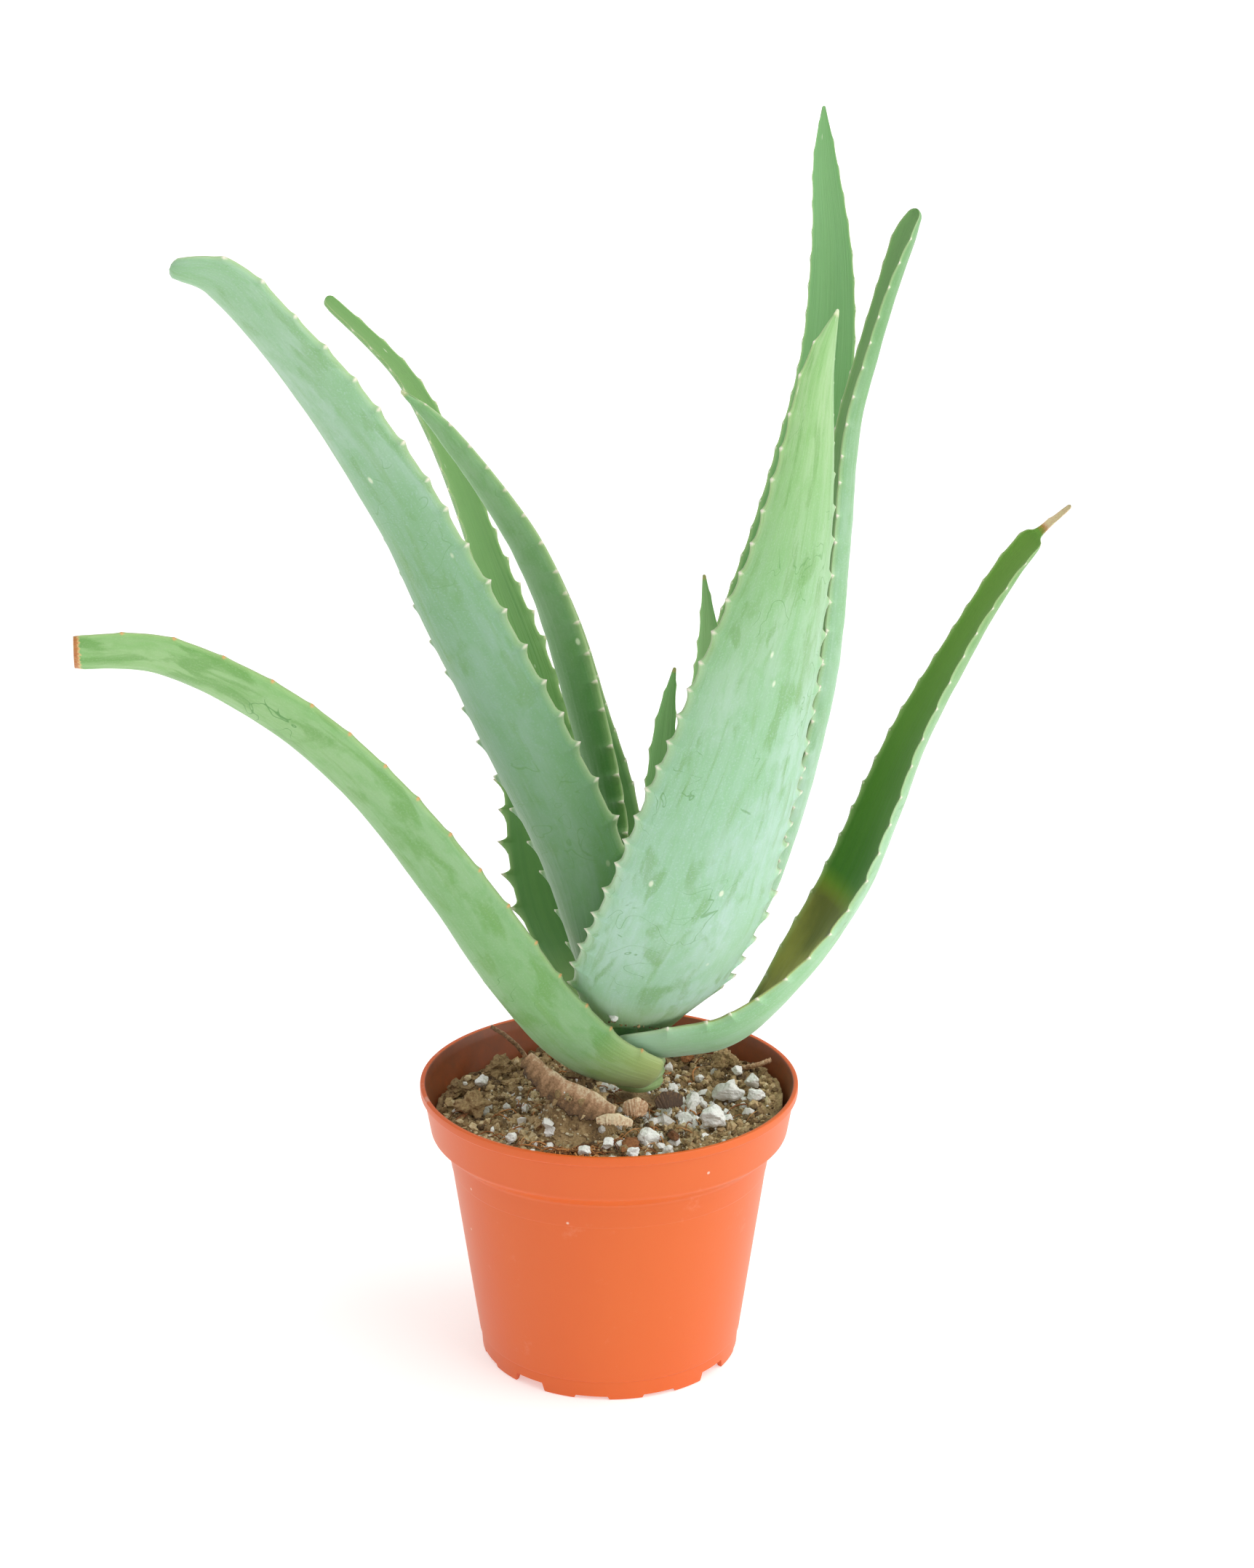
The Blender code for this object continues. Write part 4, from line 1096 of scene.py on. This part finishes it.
# each soft light: which way it shines, its strength and its width in degrees
LAMPS = (("key_light", (-0.78, 0.24, -0.57), 1.8, 70.0),
         ("top_light", (0.0, 0.0, -1.0), 0.8, 90.0))
CAMERA_SPOT = (6.2, -930.9, 504.6)      # millimetres around the pot's axis
CAMERA_DIP = 17.76                      # degrees below level
FOCAL_LENGTH, SENSOR_WIDTH = 67.1, 36.0


class ALOE_OT_pot(bpy.types.Operator):
    """Build the moulded nursery pot"""
    bl_idname = "aloe.pot"
    bl_label = "Nursery pot"

    def execute(self, context):
        settings = context.scene.aloe_pot
        mat = moulded_polypropylene("moulded_polypropylene", hex_of(settings.colour),
                                    hex_of(settings.pale_colour))
        nursery_pot(mat, settings.edge_radius / MM)
        return {"FINISHED"}


class ALOE_OT_peat(bpy.types.Operator):
    """Build the peat with its perlite, bark, sand and fibres"""
    bl_idname = "aloe.peat"
    bl_label = "Peat and perlite"

    def execute(self, context):
        settings = context.scene.aloe_peat
        mats = {
            # milled peat: fibrous crumbs, matt, nearly black in its hollows from painted shade
            "peat": loose_grain("milled_peat", ("#4D3B28", "#907650", "#C0A579", "#E3D3AE"),
                                0.95, 1.0, 0.5),
            # expanded perlite: white glass foam, its pits painted grey as shade
            "perlite": loose_grain("expanded_perlite", ("#B9B6AB", "#DDDBD2", "#F1F0EA",
                                                        "#FAFAF6"), 0.9, 0.7, 0.4),
            "sand": loose_grain("washed_sand", ("#8C7B58", "#B9AB86", "#E4DDC6"), 0.7, 0.5,
                                0.1),
            # coir and bark: dry brown fibre, orange where it is split
            "husk": loose_grain("coir_and_bark_fibre", ("#5C3A22", "#8A5831", "#B87A43",
                                                        "#CF9C66"), 0.85, 1.0, 0.2)}
        peat_bed(mats["peat"])
        large_crumbs("perlite", PERLITE, mats["perlite"], "perlite", 0.22, (0.55, 1.0))
        large_crumbs("bark", BARK, mats["husk"], "dry_husk", 0.3, (0.1, 0.6))
        large_crumbs("peat_clump", CLUMPS, mats["peat"], "peat", 0.6, (0.2, 0.45))
        peat_litter(mats, settings.crumbs, settings.fines)
        return {"FINISHED"}


class ALOE_OT_leaves(bpy.types.Operator):
    """Build the eleven leaves and the stem"""
    bl_idname = "aloe.leaves"
    bl_label = "Leaves and stem"

    def execute(self, context):
        settings = context.scene.aloe_plant
        for name in LEAVES:
            aloe_leaf(name, settings.tooth_pitch / MM)
        code = hex_of(settings.stem_colour)
        # bare stem: pale waxy green, drying to straw at the scars
        stem_skin(loose_grain("bare_green_stem", ("#8FAE6A", code, "#C6D2A0"), 0.55, 3.0,
                              0.2))
        return {"FINISHED"}


class ALOE_OT_scraps(bpy.types.Operator):
    """Build the dried leaf sheaths, husks and twigs at the foot of the stem"""
    bl_idname = "aloe.scraps"
    bl_label = "Dry scraps"

    def execute(self, context):
        # dead leaf base: papery, straw to fox-brown along its veins
        mat = loose_grain("dried_leaf_sheath", ("#4A3625", "#80603F", "#BE9470", "#EAD8B4"),
                          0.75, 0.8, 0.25)
        for name in STRIPS:
            dry_strip(name, mat)
        return {"FINISHED"}


class ALOE_OT_stage(bpy.types.Operator):
    """Build the plain floor, the soft studio light and the camera"""
    bl_idname = "aloe.stage"
    bl_label = "Stage"

    def execute(self, context):
        settings = context.scene.aloe_stage
        scene = context.scene
        # opal acrylic of a light table: matt white, glowing a little from below
        mat, _, shader = new_material("opal_acrylic_table")
        shader.inputs["Base Color"].default_value = tuple(settings.floor_colour)
        shader.inputs["Roughness"].default_value = 0.9
        shader.inputs["Specular IOR Level"].default_value = 0.1
        shader.inputs["Emission Color"].default_value = (1.0, 1.0, 1.0, 1.0)
        shader.inputs["Emission Strength"].default_value = FLOOR_GLOW
        half = settings.floor_width / 2
        mesh = bpy.data.meshes.new("floor")
        mesh.from_pydata([(-half, -half, 0), (half, -half, 0), (half, half, 0),
                          (-half, half, 0)], [], [(0, 1, 2, 3)])
        mesh.materials.append(mat)
        floor = bpy.data.objects.new("floor", mesh)
        scene.collection.objects.link(floor)

        world = bpy.data.worlds.new("bright_studio")
        world.use_nodes = True
        sky = world.node_tree.nodes["Background"]
        sky.inputs["Color"].default_value = (1, 1, 1, 1)
        sky.inputs["Strength"].default_value = STUDIO_GLOW
        scene.world = world
        for name, towards, strength, width in LAMPS:
            lamp = bpy.data.lights.new(name, "SUN")
            lamp.energy = strength
            lamp.angle = radians(width)
            obj = bpy.data.objects.new(name, lamp)
            obj.rotation_euler = Vector(towards).to_track_quat("-Z", "Y").to_euler()
            scene.collection.objects.link(obj)

        lens = bpy.data.cameras.new("camera")
        lens.lens = FOCAL_LENGTH
        lens.sensor_width = SENSOR_WIDTH
        camera = bpy.data.objects.new("camera", lens)
        camera.location = Vector(CAMERA_SPOT) * MM + AXIS
        camera.rotation_euler = (radians(90 - CAMERA_DIP), 0.0, 0.0)
        scene.collection.objects.link(camera)
        scene.camera = camera
        scene.view_settings.view_transform = "Standard"
        return {"FINISHED"}


class ALOE_PT_sidebar(bpy.types.Panel):
    """Sidebar panel that lists the settings and the build steps"""
    bl_idname = "ALOE_PT_sidebar"
    bl_label = "Potted aloe"
    bl_space_type = "VIEW_3D"
    bl_region_type = "UI"
    bl_category = "Aloe"

    def draw(self, context):
        scene = context.scene
        for settings, fields, step in (
                (scene.aloe_pot, ("edge_radius", "colour", "pale_colour"), ALOE_OT_pot),
                (scene.aloe_peat, ("crumbs", "fines"), ALOE_OT_peat),
                (scene.aloe_plant, ("tooth_pitch", "stem_colour"), ALOE_OT_leaves),
                (None, (), ALOE_OT_scraps),
                (scene.aloe_stage, ("floor_colour", "floor_width"), ALOE_OT_stage)):
            box = self.layout.box()
            for field in fields:
                box.prop(settings, field)
            box.operator(step.bl_idname)


SETTINGS = {"aloe_plant": AloePlantSettings, "aloe_pot": AloePotSettings,
            "aloe_peat": AloePeatSettings, "aloe_stage": AloeStageSettings}
CLASSES = (*SETTINGS.values(), ALOE_OT_pot, ALOE_OT_peat, ALOE_OT_leaves, ALOE_OT_scraps,
           ALOE_OT_stage, ALOE_PT_sidebar)


def register():
    for cls in CLASSES:
        bpy.utils.register_class(cls)
    for key, group in SETTINGS.items():
        setattr(bpy.types.Scene, key, PointerProperty(type=group))


def unregister():
    for key in SETTINGS:
        delattr(bpy.types.Scene, key)
    for cls in reversed(CLASSES):
        bpy.utils.unregister_class(cls)


def main():
    """Build everything in order."""
    register()
    bpy.ops.aloe.pot()
    bpy.ops.aloe.peat()
    bpy.ops.aloe.leaves()
    bpy.ops.aloe.scraps()
    bpy.ops.aloe.stage()


if __name__ == "__main__":
    main()
